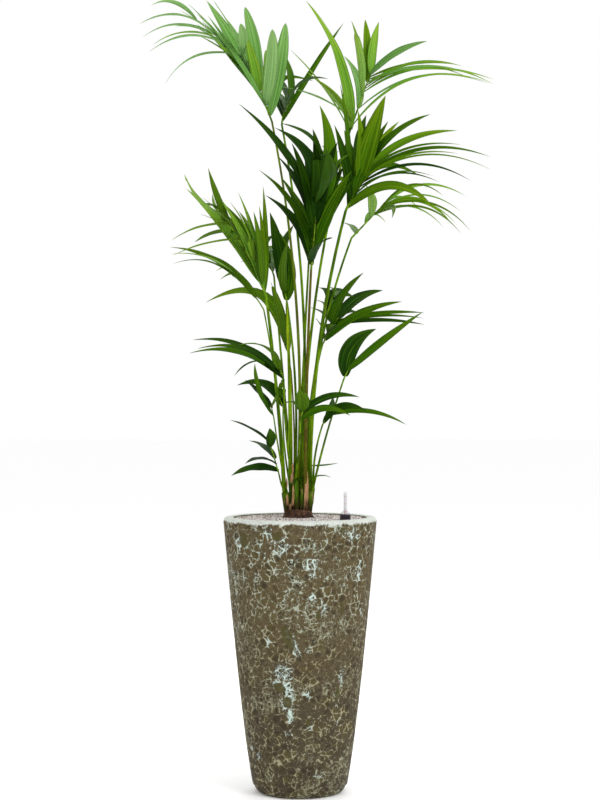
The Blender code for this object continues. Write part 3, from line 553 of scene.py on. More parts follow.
@dataclass(frozen=True)
class GlazeFinish:
    """Crackle glaze: dull brown cells, a broken net of pale seams, pale lace where it ran thick, and a pale
    rim that is partly a painted highlight.
    """

    cells: float = 60.0
    fine_cells: float = 104.0
    uneven_cells: float = 0.95
    wander: tuple[float, float] = (42.0, 0.0060)
    fine_wander: tuple[float, float] = (90.0, 0.0034)
    gloss: float = 0.66
    specular: float = 0.10
    relief: float = 0.0016
    ground: Colour = (0.100, 0.076, 0.036)
    low: Colour = (0.060, 0.048, 0.029)
    olive: Colour = (0.106, 0.086, 0.028)
    dark: Colour = (0.028, 0.021, 0.012)
    seam: Colour = (0.380, 0.335, 0.215)
    sage: Colour = (0.340, 0.365, 0.260)
    frost: Colour = (0.540, 0.650, 0.600)
    bare: Colour = (0.070, 0.062, 0.020)
    lip: Colour = (0.660, 0.700, 0.650)
    speck: Colour = (0.020, 0.014, 0.008)

    def make(self) -> Material:
        """Builds the material."""
        build = ShaderBuilder("crackle_glaze", self.ground, self.gloss, self.specular)
        place = self.warped(build, build.place, *self.wander)
        finer = self.warped(build, build.place, *self.fine_wander)
        broad = build.noise(build.place, 8.0, 3.0, 0.6)
        middle = build.noise(build.place, 34.0, 4.0, 0.65)
        small = build.noise(build.place, 150.0, 4.0, 0.7)
        grit = build.noise(build.place, 560.0, 3.0, 0.75)
        ragged = build.math("ADD", build.swing(small, 1.4), build.swing(middle, 1.6))
        thick = build.ranged(build.math("ADD", build.attribute("thick"), ragged), 0.25, 1.00)
        broken = build.math("ADD", small, build.swing(middle, 0.8))
        share = build.plus(broad, ragged, 0.18)
        away = self.seams(build, place, self.cells)
        width = build.plus(build.ranged(broken, 0.36, 0.66, -0.034, 0.050), thick, 0.036)
        seams = build.ranged(build.math("SUBTRACT", away, width), 0.0, 0.040, 1.0, 0.0)
        fine_away = self.seams(build, finer, self.fine_cells)
        fine_width = build.plus(build.ranged(share, 0.40, 0.68, -0.080, 0.040), thick, 0.060)
        net = build.ranged(build.math("SUBTRACT", fine_away, fine_width), 0.0, 0.060, 0.72, 0.0)
        lines = build.math("MAXIMUM", seams, net)
        ground = self.cell_colour(build, place, away, middle, small, grit)
        line = build.layer(self.seam, self.sage, share, 0.46, 0.62, 0.60)
        height = build.attribute("height")
        high = build.times(build.ranged(height, 0.45, 0.85, 0.0, 0.55), build.ranged(middle, 0.40, 0.58))
        line = build.mixed(build.math("MAXIMUM", thick, high), line, self.frost)
        line = build.layer(line, self.ground, grit, 0.48, 0.34, 0.45)
        strength = build.math("MAXIMUM", build.ranged(broken, 0.36, 0.60, 0.42, 0.86), thick)
        colour = build.mixed(build.times(lines, strength), ground, line)
        blob = build.math("ADD", thick, build.swing(small, 2.4))
        colour = build.layer(colour, self.frost, blob, 1.12, 1.45, 0.75)
        oval = build.plus(build.attribute("bare"), ragged, 0.50)
        colour = build.layer(colour, self.bare, oval, 0.50, 0.66, 0.92)
        # Pale glaze on the rim, broken by grit, and partly a painted highlight where the rounded lip catches
        # the light.
        worn_lip_and_highlight = build.layer(self.lip, self.ground, grit, 0.48, 0.36, 0.55)
        lip = build.plus(build.attribute("rim"), ragged, 0.80)
        build.link(build.layer(colour, worn_lip_and_highlight, lip, 0.45, 0.80, 0.92), "Base Color")
        build.link(build.ranged(lines, 0.0, 1.0, 0.74, 0.50), "Roughness")
        raised = build.plus(build.times(lines, 0.75), build.math("ADD", grit, small), 0.45)
        build.bump(raised, self.relief)
        return build.material

    def cell_colour(self, build: ShaderBuilder, place: NodeSocket, away: NodeSocket, middle: NodeSocket,
                    small: NodeSocket, grit: NodeSocket) -> NodeSocket:
        """Colour of the cells between the seams.

        Args:
            build: The builder of the material.
            place: The socket of the swayed coordinates.
            away: How far a point is from the nearest seam.
            middle: Noise of the size of a few cells.
            small: Noise of the size of a part of a cell.
            grit: The finest noise.

        Returns:
            The socket of the colour.
        """
        inputs = {"Vector": place, "Scale": self.cells, "Randomness": self.uneven_cells}
        tone = build.add("ShaderNodeTexVoronoi", inputs, feature="F1").outputs["Color"]
        cell = build.add("ShaderNodeSeparateColor", {0: tone}).outputs[0]
        ground = build.layer(self.low, self.ground, build.attribute("height"), 0.15, 0.75)
        ground = build.layer(ground, self.olive, middle, 0.44, 0.60, 0.70)
        hollow = build.times(build.ranged(away, 0.06, 0.34), build.ranged(cell, 0.20, 0.80, 0.15, 0.85))
        ground = build.mixed(hollow, ground, self.dark)
        ground = build.layer(ground, self.dark, small, 0.50, 0.36, 0.45)
        ground = build.layer(ground, self.speck, grit, 0.46, 0.34, 0.50)
        return build.layer(ground, self.seam, grit, 0.55, 0.70, 0.40)

    @staticmethod
    def warped(build: NodeBuilder, place: NodeSocket, scale: float, sway: float) -> NodeSocket:
        """Coordinates swayed by noise, so that seams wander.

        Args:
            build: The builder of the tree.
            place: The socket of the coordinates.
            scale: Scale of the noise.
            sway: How far it moves them, in metres.

        Returns:
            The socket of the swayed coordinates.
        """
        warp = build.noise(place, scale, 3.0).node.outputs["Color"]
        centred = build.vector("SUBTRACT", warp, (0.5, 0.5, 0.5))
        return build.vector("ADD", place, build.vector("SCALE", centred, 2.0 * sway))

    @classmethod
    def seams(cls, build: NodeBuilder, place: NodeSocket, cells: Value) -> NodeSocket:
        """Share of a cell from a point to the nearest seam, with so many cells in a metre."""
        inputs = {"Vector": place, "Scale": cells, "Randomness": cls.uneven_cells}
        return build.add("ShaderNodeTexVoronoi", inputs, feature="DISTANCE_TO_EDGE").outputs["Distance"]


@dataclass(frozen=True)
class GrainFinish:
    """Finish of loose grains: each grain's tone picks its colour, with a fine speckle on it."""

    name: str
    stops: tuple[tuple[float, Colour], ...]
    roughness: float = 0.85
    speckle: Colour = (0.10, 0.07, 0.06)

    def make(self) -> Material:
        """Builds the material."""
        build = ShaderBuilder(self.name, self.stops[0][1], self.roughness)
        ramp = build.add("ShaderNodeValToRGB", {"Fac": build.attribute("tone")})
        ramp.color_ramp.interpolation = "CONSTANT"
        ramp.color_ramp.elements[0].color = (*self.stops[0][1], 1.0)
        ramp.color_ramp.elements[1].position = self.stops[-1][0]
        ramp.color_ramp.elements[1].color = (*self.stops[-1][1], 1.0)
        for place, colour in self.stops[1:-1]:
            ramp.color_ramp.elements.new(place).color = (*colour, 1.0)
        fine = build.noise(build.place, 900.0, 2.0, 0.7)
        build.link(build.layer(ramp.outputs[0], self.speckle, fine, 0.5, 0.7, 0.5), "Base Color")
        build.bump(fine, 0.0004, 0.7)
        return build.material


@dataclass(frozen=True)
class EarthFinish:
    """Finish of substrate, mound and root fibre: dark and crumbly, with paler threads."""

    name: str
    dark: Colour
    light: Colour
    scale: float
    relief: float = 0.0012
    roughness: float = 0.92

    def make(self) -> Material:
        """Builds the material."""
        build = ShaderBuilder(self.name, self.dark, self.roughness)
        crumbs = build.noise(build.place, self.scale, 5.0, 0.7)
        build.link(build.layer(self.dark, self.light, crumbs, 0.40, 0.66), "Base Color")
        build.bump(crumbs, self.relief)
        return build.material


@dataclass(frozen=True)
class PlasticFinish:
    """Moulded plastic, solid or clear, with a faint grain."""

    name: str
    colour: Colour
    roughness: float
    clear: float = 0.0
    alpha: float = 1.0
    ior: float = 1.49

    def make(self) -> Material:
        """Builds the material."""
        build = ShaderBuilder(self.name, self.colour, self.roughness)
        build.plain("Transmission Weight", self.clear)
        build.plain("Alpha", self.alpha)
        build.plain("IOR", self.ior)
        grain = build.noise(build.place, 1500.0)
        smoothest = max(self.roughness - 0.04, 0.02)
        build.link(build.ranged(grain, 0.3, 0.7, smoothest, self.roughness + 0.05), "Roughness")
        build.bump(grain, 0.00006, 0.5)
        return build.material


@dataclass(frozen=True)
class FloorFinish:
    """The studio's plain pale floor."""

    colour: Colour = (0.985, 0.985, 0.985)
    roughness: float = 0.9

    def make(self) -> Material:
        """Builds the material."""
        return ShaderBuilder("studio_floor", self.colour, self.roughness).material


@dataclass(frozen=True)
class Cane:
    """A short stem of wrapped leaf bases, from the mound up to its flat top."""

    name: str
    x: float
    y: float
    top: float
    radius: float


@dataclass(frozen=True)
class Rank:
    """Leaflets along one side of a rib.

    at holds each root's share of the way along the rib. An angle is the leaflet's lean as seen from
    the front, in degrees up from +X, and a reach is its length as seen from there. length is its
    real length: the rest of it goes back or forward, by turns. bend is how far it curves down from
    root to tip and turn is how far its face is rolled from the front. These and the width go from
    the first leaflet to the last.

    slims narrows single leaflets, the last value holding for the rest, and rolls sets their turn one
    by one. fill is how many finer leaflets grow in each gap, and point is how drawn out the tips are.
    A finer rank has no solid of its own and stays within the reach of its frond.
    """

    side: Side
    first_goes: Way
    at: tuple[float, ...]
    angles: tuple[float, ...]
    reaches: tuple[float, ...]
    length: Span
    bend: Span
    width: Span
    turn: Span
    slims: tuple[float, ...] = (1.0,)
    rolls: tuple[float, ...] = ()
    fill: int = 0
    point: float = 0.95
    finer: bool = False


@dataclass(frozen=True)
class Frond:
    """A stalk and the feathered blade that it carries."""

    name: str
    cane: str
    foot: tuple[float, float]
    thick: tuple[float, float]
    sway: tuple[float, float]
    neck: Vector
    end: Vector
    bow: Vector
    tints: tuple[Tint, ...]
    brown: float
    ranks: tuple[Rank, ...]

    def base(self) -> Vector:
        """Centre of the stalk's foot, just above the top of its cane."""
        return Vector((*self.foot, named(CANES, self.cane).top + GAP))

    def stalk_point(self, share: float) -> Vector:
        """A point on the stalk's line."""
        return arc_point(self.base(), self.neck, Vector((*self.sway, 0.0)), share)

    def rib_point(self, share: float) -> Vector:
        """A point on the rib's line, which begins just past the stalk's end."""
        direction = arc_direction(self.base(), self.neck, Vector((*self.sway, 0.0)), 1.0)
        return arc_point(self.neck + direction * GAP, self.end, self.bow, share)


# The top of the gravel, the mound's middle on it, and how far the canes' feet draw together there.
GRAVEL_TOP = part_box("gravel_layer")[1].z
MOUND_CENTRE = (-0.004, 0.027)
CANE_CONVERGE = 0.82
# A cane's radius on its way up, as shares of the radius of its top.
CANE_RINGS = ((0.0, 0.85), (0.12, 0.83), (0.55, 0.93), (1.0, 1.0))
RIB_TIP_RADIUS = 0.0013

# The blades' facing and outline, as in the solids.
BLADE_FACE = Vector((0.0, -0.8, 0.6))
BLADE_EDGE_RISE = 0.10
BLADE_ROOT = 0.02
BLADE_ROOT_POWER = 0.55
# A blade that points so nearly along BLADE_FACE is faced from above.
END_ON = 0.25
# The solids' rule for how far a leaflet goes back or forward: its least share of the length seen,
# and the shares of the full way that were tried in turn.
LEAST_HIDDEN = 0.2
SWINGS = (1.0, -1.0, 0.6, -0.6, 0.3, -0.3, 1.3, -1.3)
# A leaflet whose lean leaves less than this of its upper side stands clear straight up.
LEVEL = 1e-6
# A leaflet is grown where its solid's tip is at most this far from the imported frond.
TIP_MATCH = 0.002
# Each blade reads its veins from its own place, so that no two look the same.
VEIN_STEP = 0.37
VEIN_PERIOD = 9.0
# Finer leaflets fill a gap only where its two leaflets part by less than this.
FILL_ANGLE = math.radians(75)

CANES = (
    Cane("cane_left", -0.0355, 0.0225, 0.715, 0.0095),
    Cane("cane_left_back", -0.0195, 0.0385, 0.735, 0.0090),
    Cane("cane_middle", -0.0110, 0.0165, 0.745, 0.0082),
    Cane("cane_middle_back", 0.0045, 0.0360, 0.740, 0.0095),
    Cane("cane_front", 0.0085, 0.0155, 0.725, 0.0075),
    Cane("cane_right", 0.0262, 0.0238, 0.720, 0.0094),
)

# Short names for the table of fronds.
LEFT, RIGHT = Side.LEFT, Side.RIGHT
BACK, FRONT = Way.BACK, Way.FRONT
MINT, SPRING, GRASS, MID, DEEP, SHADE, GREY = Tint
STRAIGHT = Vector((0.0, 0.0, 0.0))

FRONDS = (
    Frond(
        "top_left", "cane_middle", (-0.005, 0.02), (0.008, 0.0048), (0.027, 0.0),
        Vector((-0.068, 0.05, 1.614)), Vector((-0.258, 0.1, 1.874)), Vector((0.019, 0.0, 0.016)),
        (MINT, MINT, MINT, MINT, SPRING), 0.55, (
            Rank(LEFT, BACK, (0.05, 0.13, 0.25, 0.38), (81, 82, 99, 119), (0.245, 0.145, 0.23, 0.165),
                 (0.26, 0.25), (8, 16), (0.034, 0.03), (25, 30), rolls=(4, -6, 8, 16), fill=1, point=0.62),
            Rank(LEFT, BACK, (0.18, 0.5), (88, 85), (0.15, 0.06), (0.22, 0.2), 15, (0.03, 0.028), 30,
                 slims=(0.9,), fill=1, point=0.62),
            Rank(LEFT, FRONT, (0.6, 0.7, 0.8, 0.9, 0.98), (213, 179, 191, 170, 180),
                 (0.185, 0.195, 0.17, 0.175, 0.1), (0.24, 0.2), 60, (0.024, 0.02), (62, 66), slims=(0.6,),
                 fill=1),
            Rank(LEFT, FRONT, (0.42, 0.34, 0.24), (121, 112, 104), (0.185, 0.17, 0.13), (0.2, 0.15), (10, 6),
                 (0.034, 0.03), (8, 14), finer=True),
            Rank(LEFT, FRONT, (0.1, 0.2, 0.3, 0.42, 0.54), (124, 128, 131, 133, 136),
                 (0.25, 0.235, 0.215, 0.19, 0.16), (0.27, 0.2), (8, 12), (0.024, 0.02), (25, 35), fill=1,
                 finer=True),
            Rank(LEFT, BACK, (0.5, 0.66, 0.82), (142, 148, 158), (0.15, 0.13, 0.11), (0.18, 0.16), (12, 20),
                 (0.018, 0.014), (40, 50), fill=1, finer=True),
        )),
    Frond(
        "top_left_back", "cane_middle_back", (0.003, 0.03), (0.008, 0.005), (0.028, 0.0),
        Vector((-0.045, 0.15, 1.621)), Vector((-0.023, 0.2, 1.691)), Vector((-0.005, 0.0, 0.0)),
        (MID, GREY), 0.1, (
            Rank(RIGHT, BACK, (0.15, 0.5, 0.9), (59, 21, 54), (0.3, 0.115, 0.11), (0.3, 0.24), (8, 110),
                 (0.026, 0.024), 55, slims=(0.62, 0.4, 0.5), fill=1),
            Rank(LEFT, BACK, (0.3, 0.6, 0.95), (118, 114, 97), (0.145, 0.1, 0.155), (0.24, 0.22), 20, 0.03,
                 30, slims=(0.7,), fill=1),
        )),
    Frond(
        "top_right", "cane_front", (0.0045, 0.019), (0.008, 0.0052), (-0.028, 0.0),
        Vector((0.12, 0.12, 1.593)), Vector((0.174, 0.1, 1.744)), STRAIGHT,
        (SPRING, MINT, SPRING, GRASS), 0.1, (
            Rank(LEFT, FRONT, (0.08, 0.42, 0.62, 0.84), (112, 99, 104, 90), (0.295, 0.18, 0.14, 0.185),
                 (0.36, 0.24), (36, 6), (0.034, 0.03), (15, 35), slims=(1.0, 0.72, 0.6, 0.8),
                 rolls=(10, 20, 20, 15), point=0.75),
            Rank(RIGHT, BACK, (0.98, 0.95, 0.88, 0.78, 0.68, 0.12), (80, 19, 2, 6, 5, 16),
                 (0.165, 0.135, 0.315, 0.23, 0.33, 0.35), (0.24, 0.28), (10, 88), (0.03, 0.022), (35, 62),
                 slims=(0.85, 0.72, 0.3, 0.3, 0.3, 0.3), fill=1),
            Rank(LEFT, BACK, (0.05, 0.18, 0.25), (129, 144, 155), (0.235, 0.125, 0.21), 0.26, (20, 30),
                 (0.022, 0.018), 65, slims=(0.55,), fill=1),
        )),
    Frond(
        "centre_front", "cane_front", (0.0125, 0.0135), (0.009, 0.0054), (-0.003, 0.0),
        Vector((0.026, -0.12, 1.243)), Vector((0.041, -0.22, 1.418)), STRAIGHT,
        (DEEP, MID, DEEP, SHADE), 0.85, (
            Rank(LEFT, BACK, (0.06, 0.14), (122, 122), (0.21, 0.23), 0.25, 45, 0.03, 35, slims=(0.9,),
                 rolls=(15, 20)),
            Rank(LEFT, FRONT, (0.78, 0.88, 0.97), (128, 118, 122), (0.285, 0.215, 0.155), (0.3, 0.24),
                 (27, 90), (0.03, 0.034), (60, 20), rolls=(20, 10, 5)),
            Rank(LEFT, BACK, (0.7, 0.86), (88, 79), (0.26, 0.09), 0.26, (50, 30), (0.034, 0.04), 15,
                 slims=(1.05,), rolls=(5, 10)),
            Rank(RIGHT, FRONT, (0.1, 0.35, 0.93), (41, 58, 46), (0.06, 0.185, 0.095), (0.2, 0.22), (30, 20),
                 (0.034, 0.032), (20, 30), rolls=(10, 10, 20)),
            Rank(LEFT, FRONT, (0.5, 0.62, 0.74), (106, 98, 93), (0.19, 0.185, 0.17), (0.24, 0.22), (14, 20),
                 (0.034, 0.036), (12, 6), finer=True),
            Rank(RIGHT, FRONT, (0.2, 0.42, 0.58, 0.72), (64, 68, 74, 66), (0.2, 0.19, 0.18, 0.15),
                 (0.23, 0.21), 16, (0.034, 0.032), (12, 18), finer=True),
            Rank(LEFT, BACK, (0.25, 0.4, 0.55), (112, 108, 116), (0.2, 0.19, 0.2), 0.24, (20, 24), 0.03, 25,
                 finer=True),
        )),
    Frond(
        "right_front", "cane_right", (0.0235, 0.02), (0.011, 0.0066), (-0.022, 0.0),
        Vector((0.109, -0.03, 1.39)), Vector((0.156, -0.06, 1.486)), STRAIGHT,
        (MID, GRASS, DEEP, MID, GRASS), 0.1, (
            Rank(LEFT, BACK, (0.1,), (94,), (0.285,), 0.28, 15, 0.024, 50, slims=(0.9,)),
            Rank(RIGHT, FRONT, (0.66, 0.76, 0.98, 0.92, 0.84), (73, 84, 36, 26, 7),
                 (0.195, 0.18, 0.175, 0.255, 0.3), (0.24, 0.28), (6, 64), (0.044, 0.026), (15, 45),
                 slims=(1.1, 0.8, 0.72, 0.56, 0.34), rolls=(4, 20, 15, 30, 40)),
            Rank(RIGHT, BACK, (0.72, 0.6, 0.45, 0.08), (6, 1, 20, 355), (0.32, 0.265, 0.175, 0.195),
                 (0.24, 0.25), (70, 95), (0.024, 0.026), (60, 50), slims=(0.2, 0.3, 0.7, 0.9),
                 rolls=(60, 60, 40, 30)),
            Rank(RIGHT, FRONT, (0.3, 0.5), (64, 58), (0.19, 0.2), (0.21, 0.2), (16, 30), (0.026, 0.022),
                 (20, 30), finer=True),
            Rank(LEFT, FRONT, (0.25, 0.45, 0.65), (104, 98, 92), (0.17, 0.165, 0.16), (0.2, 0.19), (12, 16),
                 (0.028, 0.026), (15, 20), finer=True),
            Rank(RIGHT, BACK, (0.9, 0.7, 0.5, 0.3), (18, 14, 8, 12), (0.25, 0.24, 0.21, 0.19), (0.26, 0.22),
                 (50, 70), (0.006, 0.005), (45, 55), finer=True),
        )),
    Frond(
        "right_back", "cane_right", (0.0205, 0.03), (0.0076, 0.005), (-0.031, 0.0),
        Vector((0.127, 0.12, 1.338)), Vector((0.212, 0.17, 1.43)), STRAIGHT,
        (SPRING, GRASS), 0.1, (
            Rank(RIGHT, BACK, (0.98, 0.88, 0.76, 0.64), (8, 342, 357, 344), (0.215, 0.225, 0.195, 0.215),
                 (0.24, 0.26), (75, 80), 0.024, 50, slims=(0.3, 0.24, 0.55, 0.24), fill=1),
            Rank(RIGHT, FRONT, (0.95, 0.85, 0.7, 0.4), (2, 2, 315, 18), (0.14, 0.115, 0.045, 0.065), 0.2,
                 (90, 60), 0.026, 30, slims=(0.24, 0.24, 0.6, 0.5), fill=1),
            Rank(LEFT, BACK, (0.12, 0.6), (124, 110), (0.055, 0.06), 0.2, 20, 0.028, 20, slims=(0.8,)),
        )),
    Frond(
        "left_behind", "cane_left", (-0.036, 0.0315), (0.005, 0.0034), (0.009, 0.0),
        Vector((-0.087, 0.0, 1.155)), Vector((-0.164, 0.02, 1.24)), Vector((0.005, 0.0, 0.005)),
        (GRASS, MID, SPRING), 0.1, (
            Rank(LEFT, FRONT, (0.3, 0.6, 0.72, 0.85, 0.95), (150, 157, 160, 152, 172),
                 (0.235, 0.08, 0.175, 0.07, 0.14), (0.24, 0.2), 52, (0.026, 0.022), (45, 60),
                 slims=(1.1, 0.6, 0.5, 0.4), rolls=(20, 45, 60), fill=1),
        )),
    Frond(
        "left_front", "cane_left", (-0.0375, 0.0235), (0.01, 0.006), (0.004, 0.0),
        Vector((-0.08, -0.08, 1.184)), Vector((-0.18, -0.13, 1.37)), Vector((0.007, 0.0, 0.005)),
        (GRASS, MID, GRASS, SPRING, MID), 0.1, (
            Rank(LEFT, BACK, (0.05, 0.12, 0.2, 0.3, 0.4), (91, 96, 104, 111, 105),
                 (0.255, 0.16, 0.215, 0.155, 0.14), 0.22, (6, 34), 0.03, 40, slims=(0.62,), fill=1),
            Rank(LEFT, FRONT, (0.16, 0.24), (129, 115), (0.275, 0.195), (0.27, 0.22), (20, 26),
                 (0.036, 0.034), (20, 30), slims=(0.95,), rolls=(12, 18), fill=1),
            Rank(RIGHT, FRONT, (0.86, 0.92, 0.98), (111, 117, 136), (0.12, 0.095, 0.115), (0.22, 0.2),
                 (8, 35), (0.028, 0.026), 45, slims=(0.6,), fill=1),
            Rank(LEFT, BACK, (0.97, 0.88, 0.78, 0.68), (144, 203, 186, 198), (0.085, 0.135, 0.105, 0.155),
                 (0.22, 0.2), (28, 20), 0.022, 62, slims=(0.6,), fill=1),
            Rank(LEFT, FRONT, (0.08, 0.28, 0.42, 0.55), (116, 121, 129, 140), (0.225, 0.2, 0.17, 0.15),
                 (0.25, 0.2), (18, 34), (0.024, 0.018), (15, 45), fill=1, finer=True),
        )),
    Frond(
        "left_back", "cane_left_back", (-0.014, 0.032), (0.007, 0.0046), (0.012, 0.0),
        Vector((-0.031, 0.08, 1.173)), Vector((-0.057, 0.12, 1.254)), Vector((0.002, 0.0, 0.005)),
        (MID, DEEP), 0.1, (
            Rank(LEFT, FRONT, (0.1, 0.5), (99, 100), (0.195, 0.195), (0.24, 0.22), (29, 10), (0.038, 0.034),
                 (10, 20), rolls=(4, 10), fill=1),
            Rank(RIGHT, BACK, (0.9, 0.3), (75, 84), (0.145, 0.12), (0.24, 0.22), 20, 0.03, 30, slims=(0.8,),
                 fill=1),
        )),
    Frond(
        "middle_right", "cane_middle_back", (0.0118, 0.034), (0.006, 0.004), (-0.011, 0.0),
        Vector((0.055, 0.06, 1.074)), Vector((0.094, 0.09, 1.141)), STRAIGHT,
        (MID, DEEP), 0.1, (
            Rank(RIGHT, FRONT, (0.4, 0.92, 0.15), (60, 34, 26), (0.16, 0.145, 0.205), 0.22, (33, 41),
                 (0.032, 0.03), (25, 35), slims=(0.9, 0.85, 0.7), rolls=(12, 20)),
            Rank(RIGHT, BACK, (0.98, 0.85, 0.75, 0.05), (23, 5, 0, 37), (0.06, 0.215, 0.225, 0.05), 0.22,
                 (20, 25), (0.026, 0.022), (50, 60), slims=(0.45,), fill=1),
            Rank(LEFT, BACK, (0.2, 0.7), (118, 138), (0.055, 0.08), 0.2, 20, 0.03, 25, slims=(0.7,), fill=1),
        )),
    Frond(
        "low_right_pair", "cane_right", (0.03, 0.0135), (0.006, 0.004), (-0.004, 0.0),
        Vector((0.104, -0.07, 0.989)), Vector((0.116, -0.08, 1.014)), STRAIGHT,
        (DEEP, MID), 0.1, (
            Rank(RIGHT, BACK, (0.2, 0.8), (56, 38), (0.14, 0.215), (0.17, 0.25), (71, 8), (0.042, 0.022),
                 (10, 30), slims=(0.95, 0.85)),
        )),
    Frond(
        "middle_left", "cane_middle", (-0.0185, 0.015), (0.006, 0.0042), (-0.005, 0.0),
        Vector((-0.038, -0.1, 0.985)), Vector((-0.047, -0.12, 1.011)), STRAIGHT,
        (MID, DEEP), 0.1, (
            Rank(LEFT, BACK, (0.15, 0.3, 0.9, 0.95), (165, 158, 186, 150), (0.235, 0.225, 0.115, 0.105),
                 (0.25, 0.2), 60, (0.028, 0.03), (20, 30), slims=(0.85,), fill=1),
        )),
    Frond(
        "low_left_small", "cane_left", (-0.031, 0.0175), (0.005, 0.0032), (-0.002, 0.0),
        Vector((-0.062, -0.06, 0.896)), Vector((-0.068, -0.06, 0.924)), STRAIGHT,
        (MID, SHADE), 0.1, (
            Rank(RIGHT, FRONT, (0.2,), (109,), (0.13,), 0.15, 37, 0.026, 30, slims=(0.8,)),
            Rank(LEFT, BACK, (0.85, 0.95), (134, 65), (0.095, 0.03), (0.13, 0.11), 12, 0.024, 30,
                 slims=(0.85,)),
        )),
    Frond(
        "middle_left_back", "cane_left_back", (-0.025, 0.0425), (0.005, 0.0034), (-0.005, 0.0),
        Vector((-0.041, 0.05, 0.919)), Vector((-0.051, 0.06, 0.946)), STRAIGHT,
        (DEEP, MID), 0.1, (
            Rank(LEFT, BACK, (0.15, 0.9), (156, 84), (0.125, 0.045), (0.15, 0.13), (95, 20), (0.036, 0.026),
                 (15, 30), slims=(0.85,)),
        )),
    Frond(
        "lowest_left", "cane_left", (-0.036, 0.0135), (0.005, 0.0036), (-0.002, 0.0),
        Vector((-0.05, -0.05, 0.763)), Vector((-0.073, -0.1, 0.845)), STRAIGHT,
        (DEEP, SHADE), 0.1, (
            Rank(LEFT, BACK, (0.08, 0.3, 0.45, 0.92), (187, 177, 148, 149), (0.115, 0.07, 0.075, 0.105),
                 (0.13, 0.14), (49, 20), (0.028, 0.026), (30, 40), rolls=(15, 25, 30), fill=1),
            Rank(LEFT, FRONT, (0.8,), (92,), (0.045,), 0.1, 10, 0.03, 15, slims=(0.8,)),
        )),
    Frond(
        "low_right", "cane_right", (0.033, 0.0225), (0.006, 0.004), (-0.008, 0.0),
        Vector((0.054, -0.04, 0.88)), Vector((0.067, -0.05, 0.905)), STRAIGHT,
        (DEEP, MID), 0.1, (
            Rank(RIGHT, FRONT, (0.15, 0.9), (15, 353), (0.105, 0.185), (0.14, 0.2), (90, 50), (0.026, 0.022),
                 (30, 50), slims=(0.7, 0.55)),
            Rank(LEFT, BACK, (0.6,), (71,), (0.055,), 0.12, 20, 0.028, 25, slims=(0.7,)),
        )),
    Frond(
        "low_front", "cane_middle", (-0.011, 0.0125), (0.006, 0.0042), (0.002, 0.0),
        Vector((0.001, -0.1, 0.888)), Vector((0.007, -0.12, 0.915)), STRAIGHT,
        (MID, DEEP, MID), 0.1, (
            Rank(RIGHT, FRONT, (0.15, 0.85), (5, 14), (0.115, 0.14), (0.14, 0.15), (74, 62), 0.026, 35,
                 slims=(0.65, 0.62)),
            Rank(LEFT, FRONT, (0.9, 0.6), (101, 157), (0.055, 0.055), 0.12, (20, 70), (0.034, 0.026), (5, 30),
                 slims=(0.9,)),
        )),
    Frond(
        "middle_back", "cane_left_back", (-0.015, 0.0395), (0.005, 0.0036), (0.004, 0.0),
        Vector((-0.022, 0.1, 1.01)), Vector((-0.037, 0.14, 1.092)), STRAIGHT,
        (GRASS, MID), 0.7, (
            Rank(LEFT, BACK, (0.95, 0.8), (154, 104), (0.231, 0.15), (0.3, 0.22), (117, 10), (0.028, 0.03),
                 (25, 30), slims=(1.25, 0.8), rolls=(10, 25)),
            Rank(RIGHT, BACK, (0.6,), (89,), (0.115,), 0.2, 10, 0.03, 30, slims=(0.8,)),
        )),
    Frond(
        "back_left", "cane_left_back", (-0.0185, 0.0465), (0.007, 0.0046), (0.0, 0.0),
        Vector((-0.065, 0.18, 1.248)), Vector((-0.095, 0.33, 1.305)), Vector((0.0, 0.0, 0.01)),
        (MID, DEEP), 0.2, (
            Rank(LEFT, BACK, (0.15, 0.45, 0.75, 1.0), (156, 155, 122, 133), (0.095, 0.065, 0.085, 0.025),
                 (0.24, 0.2), 40, (0.03, 0.028), 30, slims=(0.8,), fill=1),
            Rank(RIGHT, BACK, (0.15, 0.45, 0.75), (62, 48, 77), (0.08, 0.055, 0.08), (0.24, 0.2), 40,
                 (0.03, 0.028), 30, slims=(0.8,), fill=1),
        )),
    Frond(
        "back_centre", "cane_middle_back", (-0.0035, 0.038), (0.007, 0.0046), (-0.002, 0.0),
        Vector((0.03, 0.16, 1.424)), Vector((0.057, 0.32, 1.525)), Vector((0.0, 0.0, 0.01)),
        (MID, GRASS), 0.2, (
            Rank(LEFT, BACK, (0.15, 0.45, 0.75, 1.0), (114, 119, 99, 94), (0.11, 0.065, 0.12, 0.04),
                 (0.26, 0.22), 40, (0.03, 0.028), 30, slims=(0.8,), fill=1),
            Rank(RIGHT, BACK, (0.15, 0.45, 0.75), (35, 19, 60), (0.125, 0.075, 0.105), (0.26, 0.22), 40,
                 (0.03, 0.028), 30, slims=(0.8,), fill=1),
        )),
    Frond(
        "back_right", "cane_middle_back", (0.008, 0.0395), (0.007, 0.0046), (-0.006, 0.0),
        Vector((0.058, 0.19, 1.134)), Vector((0.088, 0.33, 1.189)), Vector((0.0, 0.0, 0.01)),
        (MID, DEEP), 0.2, (
            Rank(LEFT, BACK, (0.15, 0.5, 0.85), (117, 126, 103), (0.06, 0.05, 0.06), (0.22, 0.2), 40,
                 (0.03, 0.028), 30, slims=(0.8,), fill=1),
            Rank(RIGHT, BACK, (0.15, 0.5, 0.85), (20, 17, 50), (0.08, 0.06, 0.06), (0.22, 0.2), 40,
                 (0.03, 0.028), 30, slims=(0.8,), fill=1),
        )),
)


def named(table: Sequence, name: str) -> Union[Cane, Frond]:
    """The row of a table that has this name."""
    return next(row for row in table if row.name == name)


def between(span: Span, share: float) -> float:
    """A value at a share of the way from the first to the last of a pair, or the only one."""
    return span[0] + (span[1] - span[0]) * share if isinstance(span, tuple) else span


def stepped(table: Profile, share: float) -> float:
    """A value at a share, straight between the rows of a table of shares and values."""
    place = next(n for n in range(1, len(table)) if table[n][0] >= share)
    (low, first), (high, last) = table[place - 1], table[place]
    return between((first, last), (share - low) / (high - low))


